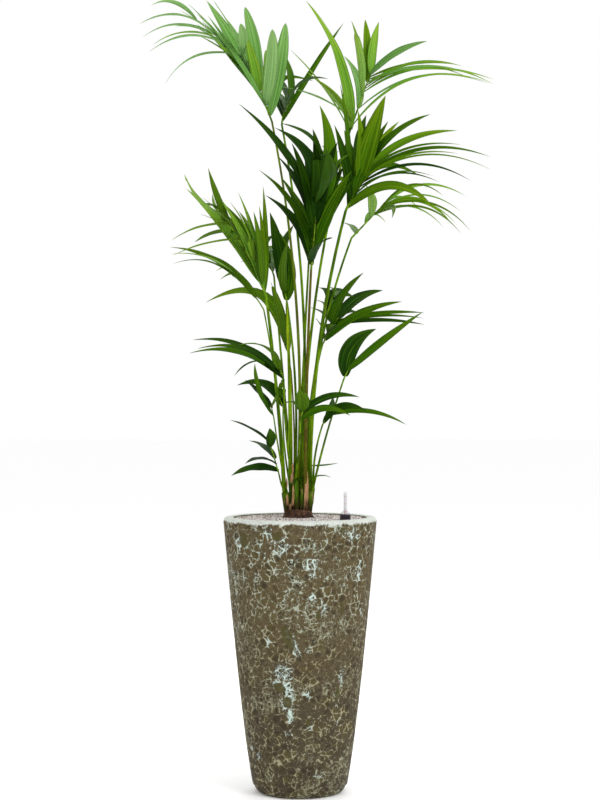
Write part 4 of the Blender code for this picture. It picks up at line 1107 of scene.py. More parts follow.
def shares(count: int) -> list[float]:
    """Even shares of a way, count of them from 0 to 1."""
    return [i / (count - 1) for i in range(count)]


def arc_point(start: Vector, end: Vector, rise: Vector, share: float) -> Vector:
    """A point on the shallow arc from start to end that stands rise clear of the straight line."""
    return start.lerp(end, share) + rise * (4 * share * (1 - share))


def arc_direction(start: Vector, end: Vector, rise: Vector, share: float) -> Vector:
    """Direction of that arc at a share of its way."""
    return (end - start + rise * (4 - 8 * share)).normalized()


def leaflet_width(share: float, point: float) -> float:
    """Outline of a leaflet: a narrow root, full before the middle, and a more or less drawn-out point."""
    fullest = BLADE_ROOT_POWER / (BLADE_ROOT_POWER + point)
    full = fullest ** BLADE_ROOT_POWER * (1.0 - fullest) ** point
    return (share + BLADE_ROOT) ** BLADE_ROOT_POWER * (1.0 - share) ** point / full


def leaflet_rise(reach: Vector, side: Side, bend: float) -> Vector:
    """How far a leaflet's arc stands clear of its chord.

    Args:
        reach: From root to tip.
        side: The side of the rib that it is on.
        bend: How far it curves, in degrees.

    Returns:
        The rise, towards the upper side of the leaflet's lean.
    """
    upward = Vector((-reach.z, 0.0, reach.x)) * side.value
    upward -= reach * (upward.dot(reach) / reach.length_squared)
    if upward.length < LEVEL:
        upward = Vector((0.0, 0.0, 1.0))
    return upward.normalized() * (reach.length * math.radians(bend) / 8)


@dataclass(frozen=True)
class Leaflet:
    """One leaflet: its arc, its width, the roll of its face, its tint and how drawn out its tip is."""

    root: Vector
    tip: Vector
    rise: Vector
    width: float
    turn: float
    tint: Tint
    point: float = 0.95


@dataclass(frozen=True)
class Shoot:
    """What a leaflet grows from: its place on the rib, where it reaches, its bend, width and turn."""

    at: float
    reach: Vector
    bend: float
    width: float
    turn: float

    def halfway(self, other: "Shoot", share: float, luck: random.Random) -> "Shoot":
        """A finer shoot in the gap to another one.

        Args:
            other: The next shoot.
            share: Share of the way to it.
            luck: Source of small irregularities.

        Returns:
            The new shoot.
        """
        reach = self.reach.lerp(other.reach, share)
        reach.y = between((self.reach.y, other.reach.y), luck.uniform(0.1, 0.9))
        return Shoot(between((self.at, other.at), share), reach * luck.uniform(0.86, 0.98),
                     between((self.bend, other.bend), share) * luck.uniform(0.8, 1.2),
                     min(self.width, other.width) * luck.uniform(0.75, 0.95),
                     between((self.turn, other.turn), share) + luck.uniform(-12.0, 12.0))


def swung(root: Vector, seen: float, angle: float, hidden: float, solid: BVHTree) -> Optional[Vector]:
    """Finds which way a packed leaflet went.

    Args:
        root: Its root.
        seen: Its length as seen from the front.
        angle: Its lean as seen from there.
        hidden: How far it reaches back, or forward where negative.
        solid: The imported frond.

    Returns:
        Its reach, or nothing where the solid left it out.
    """
    for swing in SWINGS:
        reach = Vector((seen * math.cos(angle), hidden * swing, seen * math.sin(angle)))
        if solid.find_nearest(root + reach)[3] < TIP_MATCH:
            return reach
    return None


def rank_shoots(frond: Frond, rank: Rank, solid: BVHTree, luck: random.Random) -> Iterator[Shoot]:
    """Grows one rank by the rule of the solids, with its finer shoots in the gaps.

    Args:
        frond: The frond.
        rank: The rank.
        solid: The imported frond.
        luck: Source of the finer shoots' irregularities.

    Yields:
        Each shoot.
    """
    goes = rank.first_goes.value
    last: Optional[Shoot] = None
    for i, at in enumerate(rank.at):
        share = i / max(1, len(rank.at) - 1)
        root = frond.rib_point(at)
        angle = math.radians(rank.angles[i])
        seen = rank.reaches[i]
        unseen = between(rank.length, share) ** 2 - seen ** 2
        hidden = goes * math.sqrt(max(unseen, (LEAST_HIDDEN * seen) ** 2))
        goes = -goes
        reach: Optional[Vector] = Vector((seen * math.cos(angle), hidden, seen * math.sin(angle)))
        if not rank.finer:
            reach = swung(root, seen, angle, hidden, solid)
        if reach is None:
            last = None
            continue
        width = between(rank.width, share) * rank.slims[min(i, len(rank.slims) - 1)]
        turn = rank.rolls[min(i, len(rank.rolls) - 1)] if rank.rolls else between(rank.turn, share)
        shoot = Shoot(at, reach, between(rank.bend, share), width, turn)
        yield shoot
        if last is not None and last.reach.angle(reach) < FILL_ANGLE:
            for step in range(rank.fill):
                yield last.halfway(shoot, (step + 1) / (rank.fill + 1), luck)
        last = shoot


def leaflets(frond: Frond, solid: BVHTree, luck: random.Random) -> Iterator[Leaflet]:
    """Grows a frond's leaflets.

    Args:
        frond: The frond.
        solid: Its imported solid, which shows how far back or forward each leaflet went.
        luck: Source of the finer leaflets' irregularities.

    Yields:
        Each leaflet.
    """
    dealt = 0
    for rank in frond.ranks:
        for shoot in rank_shoots(frond, rank, solid, luck):
            root = frond.rib_point(shoot.at)
            rise = leaflet_rise(shoot.reach, rank.side, shoot.bend)
            tint = frond.tints[dealt % len(frond.tints)]
            dealt += 1
            yield Leaflet(root, root + shoot.reach, rise, shoot.width, shoot.turn, tint, rank.point)


@dataclass
class BladeSkin:
    """Mesh of leaflets and other blades: closed, channelled, pleated along their length.

    A ring goes over the upper face from edge to edge and back under the lower one. A blade twists
    about its own line, and is flat in twist at the pivot's share of its way.
    """

    strips: int = 8
    stations: int = 22
    thickness: float = 0.0009
    keel: float = 0.0011
    pleat: float = 0.0006
    pleats: float = 3.0
    pleat_full: float = 0.008
    wave: float = 0.06
    waves: tuple[float, float] = (1.5, 3.0)
    twist: float = 14.0
    pivot: float = 0.35
    edge_power: float = 1.4
    even: float = 0.55
    crowded: float = 0.45

    def __post_init__(self) -> None:
        """Starts with no blades."""
        self.verts: list[Vector] = []
        self.faces: list[tuple[int, ...]] = []
        self.zones: list[int] = []
        self.uvs: list[tuple[float, float]] = []

    def spread(self) -> list[float]:
        """Shares of the way along a blade: closer together at the root and the point."""
        last = self.stations
        return [self.even * i / last + self.crowded * (1 - math.cos(math.pi * i / last)) / 2
                for i in range(last)]

    def lift(self, place: float, under: bool, half: float, share: float, phase: float) -> float:
        """How far a point of a ring stands above the blade's line.

        Args:
            place: Where it is across the blade, from -1 to 1.
            under: Whether it is on the lower face.
            half: Half the blade's width there.
            share: Share of the way along the blade.
            phase: Angle of the edges' wave there.

        Returns:
            The height in metres.
        """
        edge = abs(place)
        lift = half * 2 * BLADE_EDGE_RISE * edge ** self.edge_power
        fold = self.pleat * math.cos(self.pleats * math.pi * place)
        lift += fold * (1.0 - edge ** 2) * min(1.0, half / self.pleat_full)
        lift += half * self.wave * edge ** 2 * math.sin(phase + place)
        if under:
            lift -= self.thickness * (1.0 - edge ** 4) * (1.0 - 0.6 * share)
            lift -= self.keel * max(0.0, 1.0 - edge * 6.0) * (1.0 - share)
        return lift

    def add(self, leaflet: Leaflet, places: dict[Face, int], luck: random.Random,
            outline: Callable[[float, float], float] = leaflet_width) -> None:
        """Adds one blade.

        Args:
            leaflet: Its arc, width and roll.
            places: The material's place for each of its faces.
            luck: Source of its small irregularities.
            outline: Gives the width's share from the share of the way and the leaflet's point.
        """
        start = len(self.verts)
        sides = 2 * self.strips
        twist = luck.uniform(-self.twist, self.twist)
        phase = luck.uniform(0.0, math.tau)
        waves = luck.uniform(*self.waves)
        for share in self.spread():
            point = arc_point(leaflet.root, leaflet.tip, leaflet.rise, share)
            direction = arc_direction(leaflet.root, leaflet.tip, leaflet.rise, share)
            across = direction.cross(BLADE_FACE)
            if across.length < END_ON:
                across = direction.cross(Vector((0.0, 0.0, 1.0)))
            roll = leaflet.turn + twist * (share - self.pivot)
            across = Quaternion(direction, math.radians(roll)) @ across.normalized()
            up = across.cross(direction)
            half = leaflet.width * outline(share, leaflet.point) / 2
            for step in range(sides):
                under = step > self.strips
                place = (2 * step / self.strips - 1.0) if not under else (3.0 - 2 * step / self.strips)
                lift = self.lift(place, under, half, share, math.tau * waves * share + phase)
                self.verts.append(point + across * (half * place) + up * lift)
        self.verts.append(leaflet.tip.copy())
        faces = ring_faces(self.stations, sides, start)
        faces += fan_faces(sides, start + (self.stations - 1) * sides, len(self.verts) - 1)
        self.faces += faces
        self.faces.append(tuple(range(start, start + sides))[::-1])
        kinds = [Face.UNDER if i % sides >= self.strips else Face.UPPER for i in range(len(faces))]
        self.zones += [places[kind] for kind in (*kinds, Face.UNDER)]
        for face in self.faces[-len(faces) - 1:]:
            for corner in face:
                ring, step = divmod(corner - start, sides)
                place = step / self.strips if step <= self.strips else 2.0 - step / self.strips
                self.uvs.append((place + (start * VEIN_STEP) % VEIN_PERIOD, ring / self.stations))

    def make(self, name: str, finishes: Sequence[Material]) -> Object:
        """Makes one piece of all the blades.

        Args:
            name: Name of the piece.
            finishes: Its materials.

        Returns:
            The piece.
        """
        piece = placed(name, self.verts, self.faces, finishes, self.zones)
        layer = piece.data.uv_layers.new(name="blade")
        layer.data.foreach_set("uv", np.asarray(self.uvs, np.float32).ravel())
        return piece


@dataclass
class Limb:
    """A tapering limb along a path, with the tone that browns it."""

    path: list[Vector]
    radii: list[float]
    tone: float = 0.0


@dataclass
class LimbSkin:
    """Skin of limbs, grown along their paths by Geometry Nodes, with lengthwise relief."""

    sides: int = 14
    relief: float = 0.0006
    ridges: float = 260.0
    seed: float = 3.0
    lengthwise: float = 0.05

    def tree(self) -> GeometryBuilder:
        """Builds the tree: a ring swept along each path and creased along its length."""
        build = GeometryBuilder("limb_skin", {
            "Sides": self.sides, "Relief": self.relief, "Ridges": self.ridges, "Seed": self.seed})
        curve = build.add("GeometryNodeMeshToCurve", {"Mesh": build.given["Geometry"]}).outputs[0]
        inputs = {"Resolution": build.given["Sides"], "Radius": 1.0}
        ring = build.add("GeometryNodeCurvePrimitiveCircle", inputs).outputs[0]
        swept = build.swept(curve, ring, build.attribute("radius"))
        place = build.add("GeometryNodeInputPosition").outputs[0]
        across = build.given["Ridges"]
        along = build.times(across, self.lengthwise)
        ridge = build.add("ShaderNodeCombineXYZ", {0: across, 1: across, 2: along}).outputs[0]
        long = build.vector("MULTIPLY", place, ridge)
        inputs = {"Vector": long, "W": build.given["Seed"], "Scale": 1.0, "Detail": 3.0}
        crease = build.add("ShaderNodeTexNoise", inputs, noise_dimensions="4D").outputs[0]
        moved = build.raised(swept, build.swing(crease, build.given["Relief"]))
        return build.finish(build.add("GeometryNodeSetShadeSmooth", {"Geometry": moved}).outputs[0])

    def make(self, name: str, limbs: Sequence[Limb], finish: Material) -> Object:
        """Skins limbs as one piece.

        Args:
            name: Name of the piece.
            limbs: The limbs.
            finish: Their material.

        Returns:
            The piece.
        """
        verts: list[Vector] = []
        edges: list[tuple[int, int]] = []
        for limb in limbs:
            edges += [(len(verts) + i, len(verts) + i + 1) for i in range(len(limb.path) - 1)]
            verts += limb.path
        mesh = bpy.data.meshes.new(name)
        mesh.from_pydata([tuple(v) for v in verts], edges, [])
        stored(mesh, {
            "radius": [radius for limb in limbs for radius in limb.radii],
            "along": [share for limb in limbs for share in shares(len(limb.path))],
            "tone": [limb.tone for limb in limbs for _ in limb.path]})
        return grown(name, mesh, self.tree(), finish)


@dataclass
class LeafStalks:
    """The leaf stalks, from the cane tops to the fronds."""

    rings: int = 40
    foot_flare: float = 0.12

    def limb(self, frond: Frond) -> Limb:
        """One stalk as a limb, a little fuller at its foot."""
        flare = [1 + self.foot_flare * max(0.0, 1 - 8 * share) for share in shares(self.rings)]
        path = [frond.stalk_point(share) for share in shares(self.rings)]
        radii = [between(frond.thick, share) / 2 * wider for share, wider in zip(shares(self.rings), flare)]
        return Limb(path, radii, frond.brown)

    def make(self) -> None:
        """Builds the stalks and dresses them."""
        finish = LimbFinish("stalk_skin").make()
        piece = LimbSkin().make("leaf_stalks", [self.limb(frond) for frond in FRONDS], finish)
        shown(piece, "stalk_green", *("stalk_" + frond.name for frond in FRONDS))


@dataclass
class Canes:
    """The canes: wrapped leaf bases with coarse fibrous relief."""

    rings: int = 26
    relief: float = 0.0022
    sunk: float = 0.010

    def limb(self, cane: Cane) -> Limb:
        """One cane as a limb, level at both ends."""
        x, y = MOUND_CENTRE
        foot = Vector((x + (cane.x - x) * CANE_CONVERGE, y + (cane.y - y) * CANE_CONVERGE,
                       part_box("root_mound")[1].z - self.sunk))
        top = Vector((cane.x, cane.y, cane.top))
        path = [foot.lerp(top, share) for share in shares(self.rings)]
        return Limb(path, [cane.radius * stepped(CANE_RINGS, share) for share in shares(self.rings)])

    def make(self) -> None:
        """Builds the canes and dresses them."""
        # The near-black dark is partly painted shade, for the gaps between the canes.
        finish = SheathFinish(
            "cane_bases", (0.080, 0.180, 0.004), (0.400, 0.235, 0.105), (0.008, 0.014, 0.002), 0.06).make()
        skin = LimbSkin(sides=26, relief=self.relief, ridges=300.0, seed=7.0)
        piece = skin.make("cane_skins", [self.limb(cane) for cane in CANES], finish)
        shown(piece, "cane_sheath", *(cane.name for cane in CANES))


@dataclass
class SpearLeaf:
    """The unopened leaf: tightly folded, with lengthwise pleats."""

    foot: tuple[float, float] = (-0.0235, 0.033)
    cane: str = "cane_left_back"
    tip: Vector = Vector((-0.034, 0.045, 1.186))
    sway: float = 0.004
    radius: float = 0.0056
    rings: int = 44
    swell: tuple[tuple[float, float], ...] = (
        (0.0, 1.0), (0.2, 0.98), (0.4, 0.88), (0.6, 0.74), (0.8, 0.58), (0.94, 0.42), (1.0, 0.08))

    def make(self) -> None:
        """Builds the spear and dresses it."""
        foot = Vector((*self.foot, named(CANES, self.cane).top + GAP))
        rise = Vector((self.sway, 0.0, 0.0))
        path = [arc_point(foot, self.tip, rise, share) for share in shares(self.rings)]
        radii = [self.radius * stepped(self.swell, share) for share in shares(self.rings)]
        finish = LimbFinish("spear_skin", (0.170, 0.330, 0.004), (0.300, 0.400, 0.006)).make()
        skin = LimbSkin(sides=20, relief=0.0012, ridges=520.0, seed=5.0)
        piece = skin.make("folded_spear", [Limb(path, radii)], finish)
        shown(piece, "stalk_green", "spear_leaf")


@dataclass(frozen=True)
class Wisp:
    """A small leaflet that grows straight from a stalk: where it starts, its tip, bend and width."""

    stalk: str
    share: float
    tip: tuple[float, float, float]
    bend: float
    width: float
    tint: Tint
    turn: float = 25.0

    def leaflet(self) -> Leaflet:
        """The wisp as a leaflet."""
        root = named(FRONDS, self.stalk).stalk_point(self.share)
        bend = Vector((0.0, 0.0, self.bend))
        return Leaflet(root, Vector(self.tip), bend, self.width, self.turn, self.tint)


WISPS = (
    Wisp("right_front", 0.090, (0.0937, 0.000, 0.7875), -0.002, 0.0040, Tint.MID),
    Wisp("centre_front", 0.030, (0.0766, -0.012, 0.7525), 0.010, 0.0036, Tint.MID),
    Wisp("centre_front", 0.045, (-0.0200, -0.010, 0.7430), 0.003, 0.0105, Tint.DEEP),
)


@dataclass
class Fronds:
    """The fronds: ribs and fine leaflets, each kind joined."""

    seed: int = 11
    rib_rings: int = 18
    rib_browning: float = 0.4

    def rib(self, frond: Frond) -> Limb:
        """A frond's rib as a limb."""
        path = [frond.rib_point(share) for share in shares(self.rib_rings)]
        taper = (frond.thick[1] / 2, RIB_TIP_RADIUS)
        radii = [between(taper, share) for share in shares(self.rib_rings)]
        return Limb(path, radii, self.rib_browning * frond.brown)

    def make(self, nodes: dict[str, Object]) -> None:
        """Builds ribs and leaflets and dresses them.

        Args:
            nodes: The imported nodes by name.
        """
        luck = random.Random(self.seed)
        tints = list(Tint)
        faces = (Face.UPPER, Face.UNDER)
        finishes = [LeafFinish(tint, face).make() for tint in tints for face in faces]
        groups = {"leaf_light": BladeSkin(), "leaf_mid": BladeSkin(), "leaf_dark": BladeSkin()}
        names: dict[str, list[str]] = {slot: [] for slot in groups}
        slots = {entry["node"]: entry["material_slot"] for entry in FRAME["record"]["subparts"]}
        count = 0
        for frond in FRONDS:
            node = "frond_" + frond.name
            slot = slots[node]
            names[slot].append(node)
            solid = BVHTree.FromObject(nodes[node], bpy.context.evaluated_depsgraph_get())
            for leaflet in leaflets(frond, solid, luck):
                place = 2 * tints.index(leaflet.tint)
                groups[slot].add(leaflet, {Face.UPPER: place, Face.UNDER: place + 1}, luck)
                count += 1
        for wisp in WISPS:
            place = 2 * tints.index(wisp.tint)
            groups["leaf_dark"].add(wisp.leaflet(), {Face.UPPER: place, Face.UNDER: place + 1}, luck)
        LOG.info("%d leaflets grown", count + len(WISPS))
        for slot, skin in groups.items():
            shown(skin.make(slot.replace("leaf_", "leaflets_"), finishes), slot, *names[slot])
        green = LimbFinish("rib_skin", (0.140, 0.290, 0.008), (0.220, 0.380, 0.020)).make()
        limbs = [self.rib(frond) for frond in FRONDS]
        ribs = LimbSkin(sides=10, relief=0.0003).make("frond_ribs", limbs, green)
        shown(ribs, "stalk_green")


# Dried sheaths: foot, top, width and roll.
DRIED = (
    ((0.0140, 0.0080, 0.672), (0.0165, 0.0100, 0.772), 0.0115, 8.0),
    ((-0.0210, 0.0060, 0.738), (-0.0180, 0.0080, 0.790), 0.0075, -10.0),
    ((-0.0190, 0.0050, 0.682), (-0.0170, 0.0060, 0.736), 0.0062, 12.0),
    ((-0.0300, 0.0080, 0.684), (-0.0310, 0.0100, 0.712), 0.0070, -20.0),
    ((-0.0215, 0.0020, 0.668), (-0.0225, 0.0020, 0.690), 0.0080, 20.0),
    ((-0.0330, 0.0120, 0.725), (-0.0325, 0.0120, 0.752), 0.0050, 0.0),
    ((0.0115, 0.0090, 0.775), (0.0130, 0.0100, 0.800), 0.0040, 0.0),
)


@dataclass
class DriedSheaths:
    """Dried tan leaf bases that peel from the canes, and thin dried strands."""

    seed: int = 5

    @staticmethod
    def outline(share: float, point: float) -> float:
        """Outline of a dried sheath: nearly parallel, with a torn end."""
        return (0.75 + 0.25 * math.cos(2.2 * share)) * min(1.0, 4.0 * (1.0 - share)) ** point

    def make(self) -> None:
        """Builds the sheaths and dresses them."""
        luck = random.Random(self.seed)
        skin = BladeSkin(strips=8, stations=14, thickness=0.0008, keel=0.0, pleat=0.0010, wave=0.20)
        for root, tip, width, turn in DRIED:
            rise = Vector((luck.uniform(-0.002, 0.002), -0.003, 0.0))
            leaf = Leaflet(Vector(root), Vector(tip), rise, width, turn, Tint.SPRING, 0.5)
            skin.add(leaf, {Face.UPPER: 0, Face.UNDER: 0}, luck, self.outline)
        finish = SheathFinish(
            "dried_bases", (0.300, 0.190, 0.080), (0.500, 0.290, 0.145), (0.110, 0.050, 0.020), 0.30).make()
        shown(skin.make("dried_sheaths", [finish]), "cane_sheath")


@dataclass(frozen=True)
class Patch:
    """An oval patch of the glaze.

    azimuth is in degrees from the front, to the right. height, half_width and half_height are in
    metres on the wall, and tilt leans its top to the left, in degrees.
    """

    azimuth: float
    height: float
    half_width: float
    half_height: float
    strength: float = 1.0
    tilt: float = 0.0


# Where the glaze ran thick and pale, and where it left smooth bare ovals.
THICK_GLAZE = tuple(Patch(*row) for row in (
    (-24, 0.632, 0.014, 0.016, 1.0), (-14, 0.6, 0.034, 0.026, 0.75), (-4, 0.572, 0.03, 0.022, 0.55),
    (-30, 0.588, 0.012, 0.03, 0.6, 20), (10, 0.56, 0.024, 0.028, 0.72), (9, 0.53, 0.02, 0.014, 0.6),
    (43, 0.622, 0.026, 0.018, 0.9), (34, 0.632, 0.02, 0.012, 0.65), (-53, 0.603, 0.012, 0.02, 0.8),
    (-63, 0.632, 0.016, 0.014, 0.5), (-36, 0.534, 0.012, 0.024, 0.55), (52, 0.54, 0.016, 0.04, 0.6),
    (-16, 0.529, 0.018, 0.014, 0.5), (-64, 0.52, 0.014, 0.022, 0.5), (8, 0.482, 0.03, 0.022, 0.55),
    (61, 0.436, 0.012, 0.026, 0.6), (38, 0.45, 0.012, 0.03, 0.55), (18, 0.447, 0.016, 0.026, 0.6),
    (-4, 0.366, 0.01, 0.034, 0.95, 24), (-12, 0.398, 0.018, 0.012, 0.55),
    (-28, 0.372, 0.014, 0.026, 0.45), (6, 0.356, 0.014, 0.012, 0.55), (-15, 0.306, 0.026, 0.024, 0.95),
    (-22, 0.28, 0.018, 0.012, 0.6), (-11, 0.262, 0.013, 0.026, 0.95, 14), (-14, 0.228, 0.01, 0.018, 0.85),
    (-9, 0.204, 0.009, 0.022, 0.9), (-12, 0.16, 0.014, 0.012, 0.65), (7, 0.25, 0.012, 0.013, 0.75),
    (41, 0.29, 0.014, 0.026, 0.6), (37, 0.236, 0.009, 0.026, 0.45), (-50, 0.101, 0.012, 0.012, 0.8),
    (-62, 0.119, 0.01, 0.016, 0.5), (9, 0.174, 0.014, 0.014, 0.45), (-46, 0.185, 0.009, 0.03, 0.45),
    (20, 0.06, 0.02, 0.01, 0.45), (-78, 0.452, 0.009, 0.023, 0.5), (40, 0.18, 0.01, 0.02, 0.4),
    (-6, 0.42, 0.03, 0.014, 0.35),
))
BARE_PATCHES = tuple(Patch(*row) for row in (
    (-10, 0.386, 0.011, 0.03, 1.0, 24), (-47, 0.612, 0.013, 0.018), (-17, 0.622, 0.008, 0.011),
    (33, 0.634, 0.007, 0.008), (44, 0.612, 0.006, 0.008), (-19, 0.268, 0.015, 0.01, 1.0, -30),
    (-12, 0.234, 0.01, 0.013), (8, 0.186, 0.006, 0.01, 0.8), (37, 0.25, 0.006, 0.02, 0.8),
    (36, 0.452, 0.006, 0.022, 0.8), (15, 0.44, 0.006, 0.014, 0.8),
))


@dataclass
class Planter:
    """The tall planter: slim at the base, fuller towards a thick rounded rim."""

    height: float = 0.6585
    rim_radius: float = 0.185
    base_radius: float = 0.108
    barrel: float = 0.75
    foot_radius: float = 0.090
    foot_rounding: float = 0.020
    rim_width: float = 0.029
    rim_rounding: float = 0.010
    wall: float = 0.024
    floor: float = 0.030
    segments: int = 336
    rows: int = 216
    round_steps: int = 8
    floor_steps: int = 12
    relief: float = 0.0007
    unevenness: float = 0.0012
    waviness: float = 9.0
    seam_width: float = 0.24
    patch_reach: float = 1.6
    spare_thick: int = 40
    spare_bare: int = 10
    seed: int = 23

    def radius(self, height: float) -> float:
        """Outer radius at a height."""
        return self.base_radius + (self.rim_radius - self.base_radius) * (height / self.height) ** self.barrel

    def bore(self, height: float) -> float:
        """Inner radius at a height."""
        lip = self.height - self.rim_rounding
        narrow = self.radius(self.floor) - self.wall
        wide = self.radius(lip) - self.rim_width
        return narrow + (wide - narrow) * (height - self.floor) / (lip - self.floor)

    def rounded(self, radius: float, height: float, size: float, start: float) -> list[tuple[float, float]]:
        """Points on a quarter circle.

        Args:
            radius: Distance of its centre from the axis.
            height: Height of its centre.
            size: Its own radius.
            start: Angle of its first point, in degrees; it turns anticlockwise.

        Returns:
            Radius and height of each point.
        """
        angles = [math.radians(start + 90 * i / self.round_steps) for i in range(self.round_steps + 1)]
        return [(radius + size * math.cos(a), height + size * math.sin(a)) for a in angles]

    def profile(self) -> list[tuple[float, float]]:
        """Radius and height from the axis underneath, round the outside, to the axis on the floor."""
        lip = self.height - self.rim_rounding
        least = self.foot_radius + self.foot_rounding
        side = [self.foot_rounding + (lip - self.foot_rounding) * i / self.rows for i in range(self.rows + 1)]
        points = [(0.0, 0.0), (self.foot_radius * 0.5, 0.0)]
        points += self.rounded(self.foot_radius, self.foot_rounding, self.foot_rounding, -90)[:-1]
        points += [(max(self.radius(z), least), z) for z in side]
        points += self.rounded(self.radius(lip) - self.rim_rounding, lip, self.rim_rounding, 0)[1:]
        points += self.rounded(self.bore(lip) + self.rim_rounding, lip, self.rim_rounding, 90)
        down = [lip + (self.floor - lip) * i / self.floor_steps for i in range(1, self.floor_steps + 1)]
        points += [(self.bore(z), z) for z in down]
        return points + [(self.bore(self.floor) * 0.5, self.floor), (0.0, self.floor)]

    def patches(self, given: Sequence[Patch], spare: int, luck: random.Random) -> list[Patch]:
        """The given patches, and more of their kind round the back.

        Args:
            given: Patches of the front.
            spare: How many are added behind.
            luck: Source of the added ones' places.

        Returns:
            All the patches.
        """
        added = []
        for _ in range(spare):
            like = luck.choice(given)
            added.append(Patch(
                luck.uniform(85.0, 275.0), luck.uniform(0.09, 0.63), like.half_width * luck.uniform(0.8, 1.2),
                like.half_height * luck.uniform(0.8, 1.2), like.strength, luck.uniform(-25.0, 25.0)))
        return [*given, *added]

    def mask(self, points: np.ndarray, patches: Sequence[Patch]) -> np.ndarray:
        """How deep each point lies in a patch: patch_reach at a patch's middle, 1 less at its edge.

        Args:
            points: The points.
            patches: The patches.

        Returns:
            A number for each point, never below 0.
        """
        deepest = np.zeros(len(points))
        azimuth = np.degrees(np.arctan2(points[:, 0], -points[:, 1]))
        for patch in patches:
            off = (azimuth - patch.azimuth + 180.0) % 360.0 - 180.0
            right = np.radians(off) * self.radius(patch.height)
            up = points[:, 2] - patch.height
            lean = math.radians(patch.tilt)
            across = (right * math.cos(lean) + up * math.sin(lean)) / patch.half_width
            along = (up * math.cos(lean) - right * math.sin(lean)) / patch.half_height
            deepest = np.maximum(deepest, (self.patch_reach - np.hypot(across, along)) * patch.strength)
        return deepest

    def glaze_tree(self) -> GeometryBuilder:
        """Builds the tree that raises the glaze's seams and leaves the wall a little uneven."""
        build = GeometryBuilder("glaze_relief", {
            "Relief": self.relief, "Cells": GlazeFinish.cells, "Unevenness": self.unevenness})
        place = build.add("GeometryNodeInputPosition").outputs[0]
        warped = GlazeFinish.warped(build, place, *GlazeFinish.wander)
        cells = GlazeFinish.seams(build, warped, build.given["Cells"])
        seam = build.times(build.ranged(cells, 0.0, self.seam_width, 1.0, 0.0), build.given["Relief"])
        sway = build.swing(build.noise(place, self.waviness), build.given["Unevenness"])
        height = build.math("SUBTRACT", build.math("ADD", seam, sway), build.given["Relief"])
        height = build.times(height, build.attribute("outside"))
        return build.finish(build.raised(build.given["Geometry"], height))

    def glaze_zones(self, points: np.ndarray, luck: random.Random) -> dict[str, np.ndarray]:
        """Where the glaze is what.

        Args:
            points: The planter's points.
            luck: Source of the patches behind.

        Returns:
            Attribute name to a number for each point: 1 on the glazed outside, 1 on the rim's top,
            the share of the height, and how deep it lies in thick and in bare patches.
        """
        away = np.hypot(points[:, 0], points[:, 1])
        height = points[:, 2]
        wall = np.array([self.bore(z) for z in height]) + 0.010
        outside = ((away > wall) & (height > 0.004) & (height < self.height - 0.004)).astype(float)
        rim = np.clip((height - (self.height - 0.017)) / 0.013, 0.0, 1.0) * (away > wall - 0.006)
        return {
            "outside": outside, "rim": rim, "height": height / self.height,
            "thick": self.mask(points, self.patches(THICK_GLAZE, self.spare_thick, luck)) * outside,
            "bare": self.mask(points, self.patches(BARE_PATCHES, self.spare_bare, luck)) * outside}

    def make(self) -> None:
        """Builds the planter and dresses it."""
        finish = GlazeFinish().make()
        blank = turned("planter_blank", self.profile(), self.segments, finish)
        mesh = blank.data
        bpy.data.objects.remove(blank)
        points = np.empty(len(mesh.vertices) * 3)
        mesh.vertices.foreach_get("co", points)
        stored(mesh, self.glaze_zones(points.reshape(-1, 3), random.Random(self.seed)))
        piece = grown("glazed_planter", mesh, self.glaze_tree(), finish)
        shown(piece, "crackle_glaze", "planter")


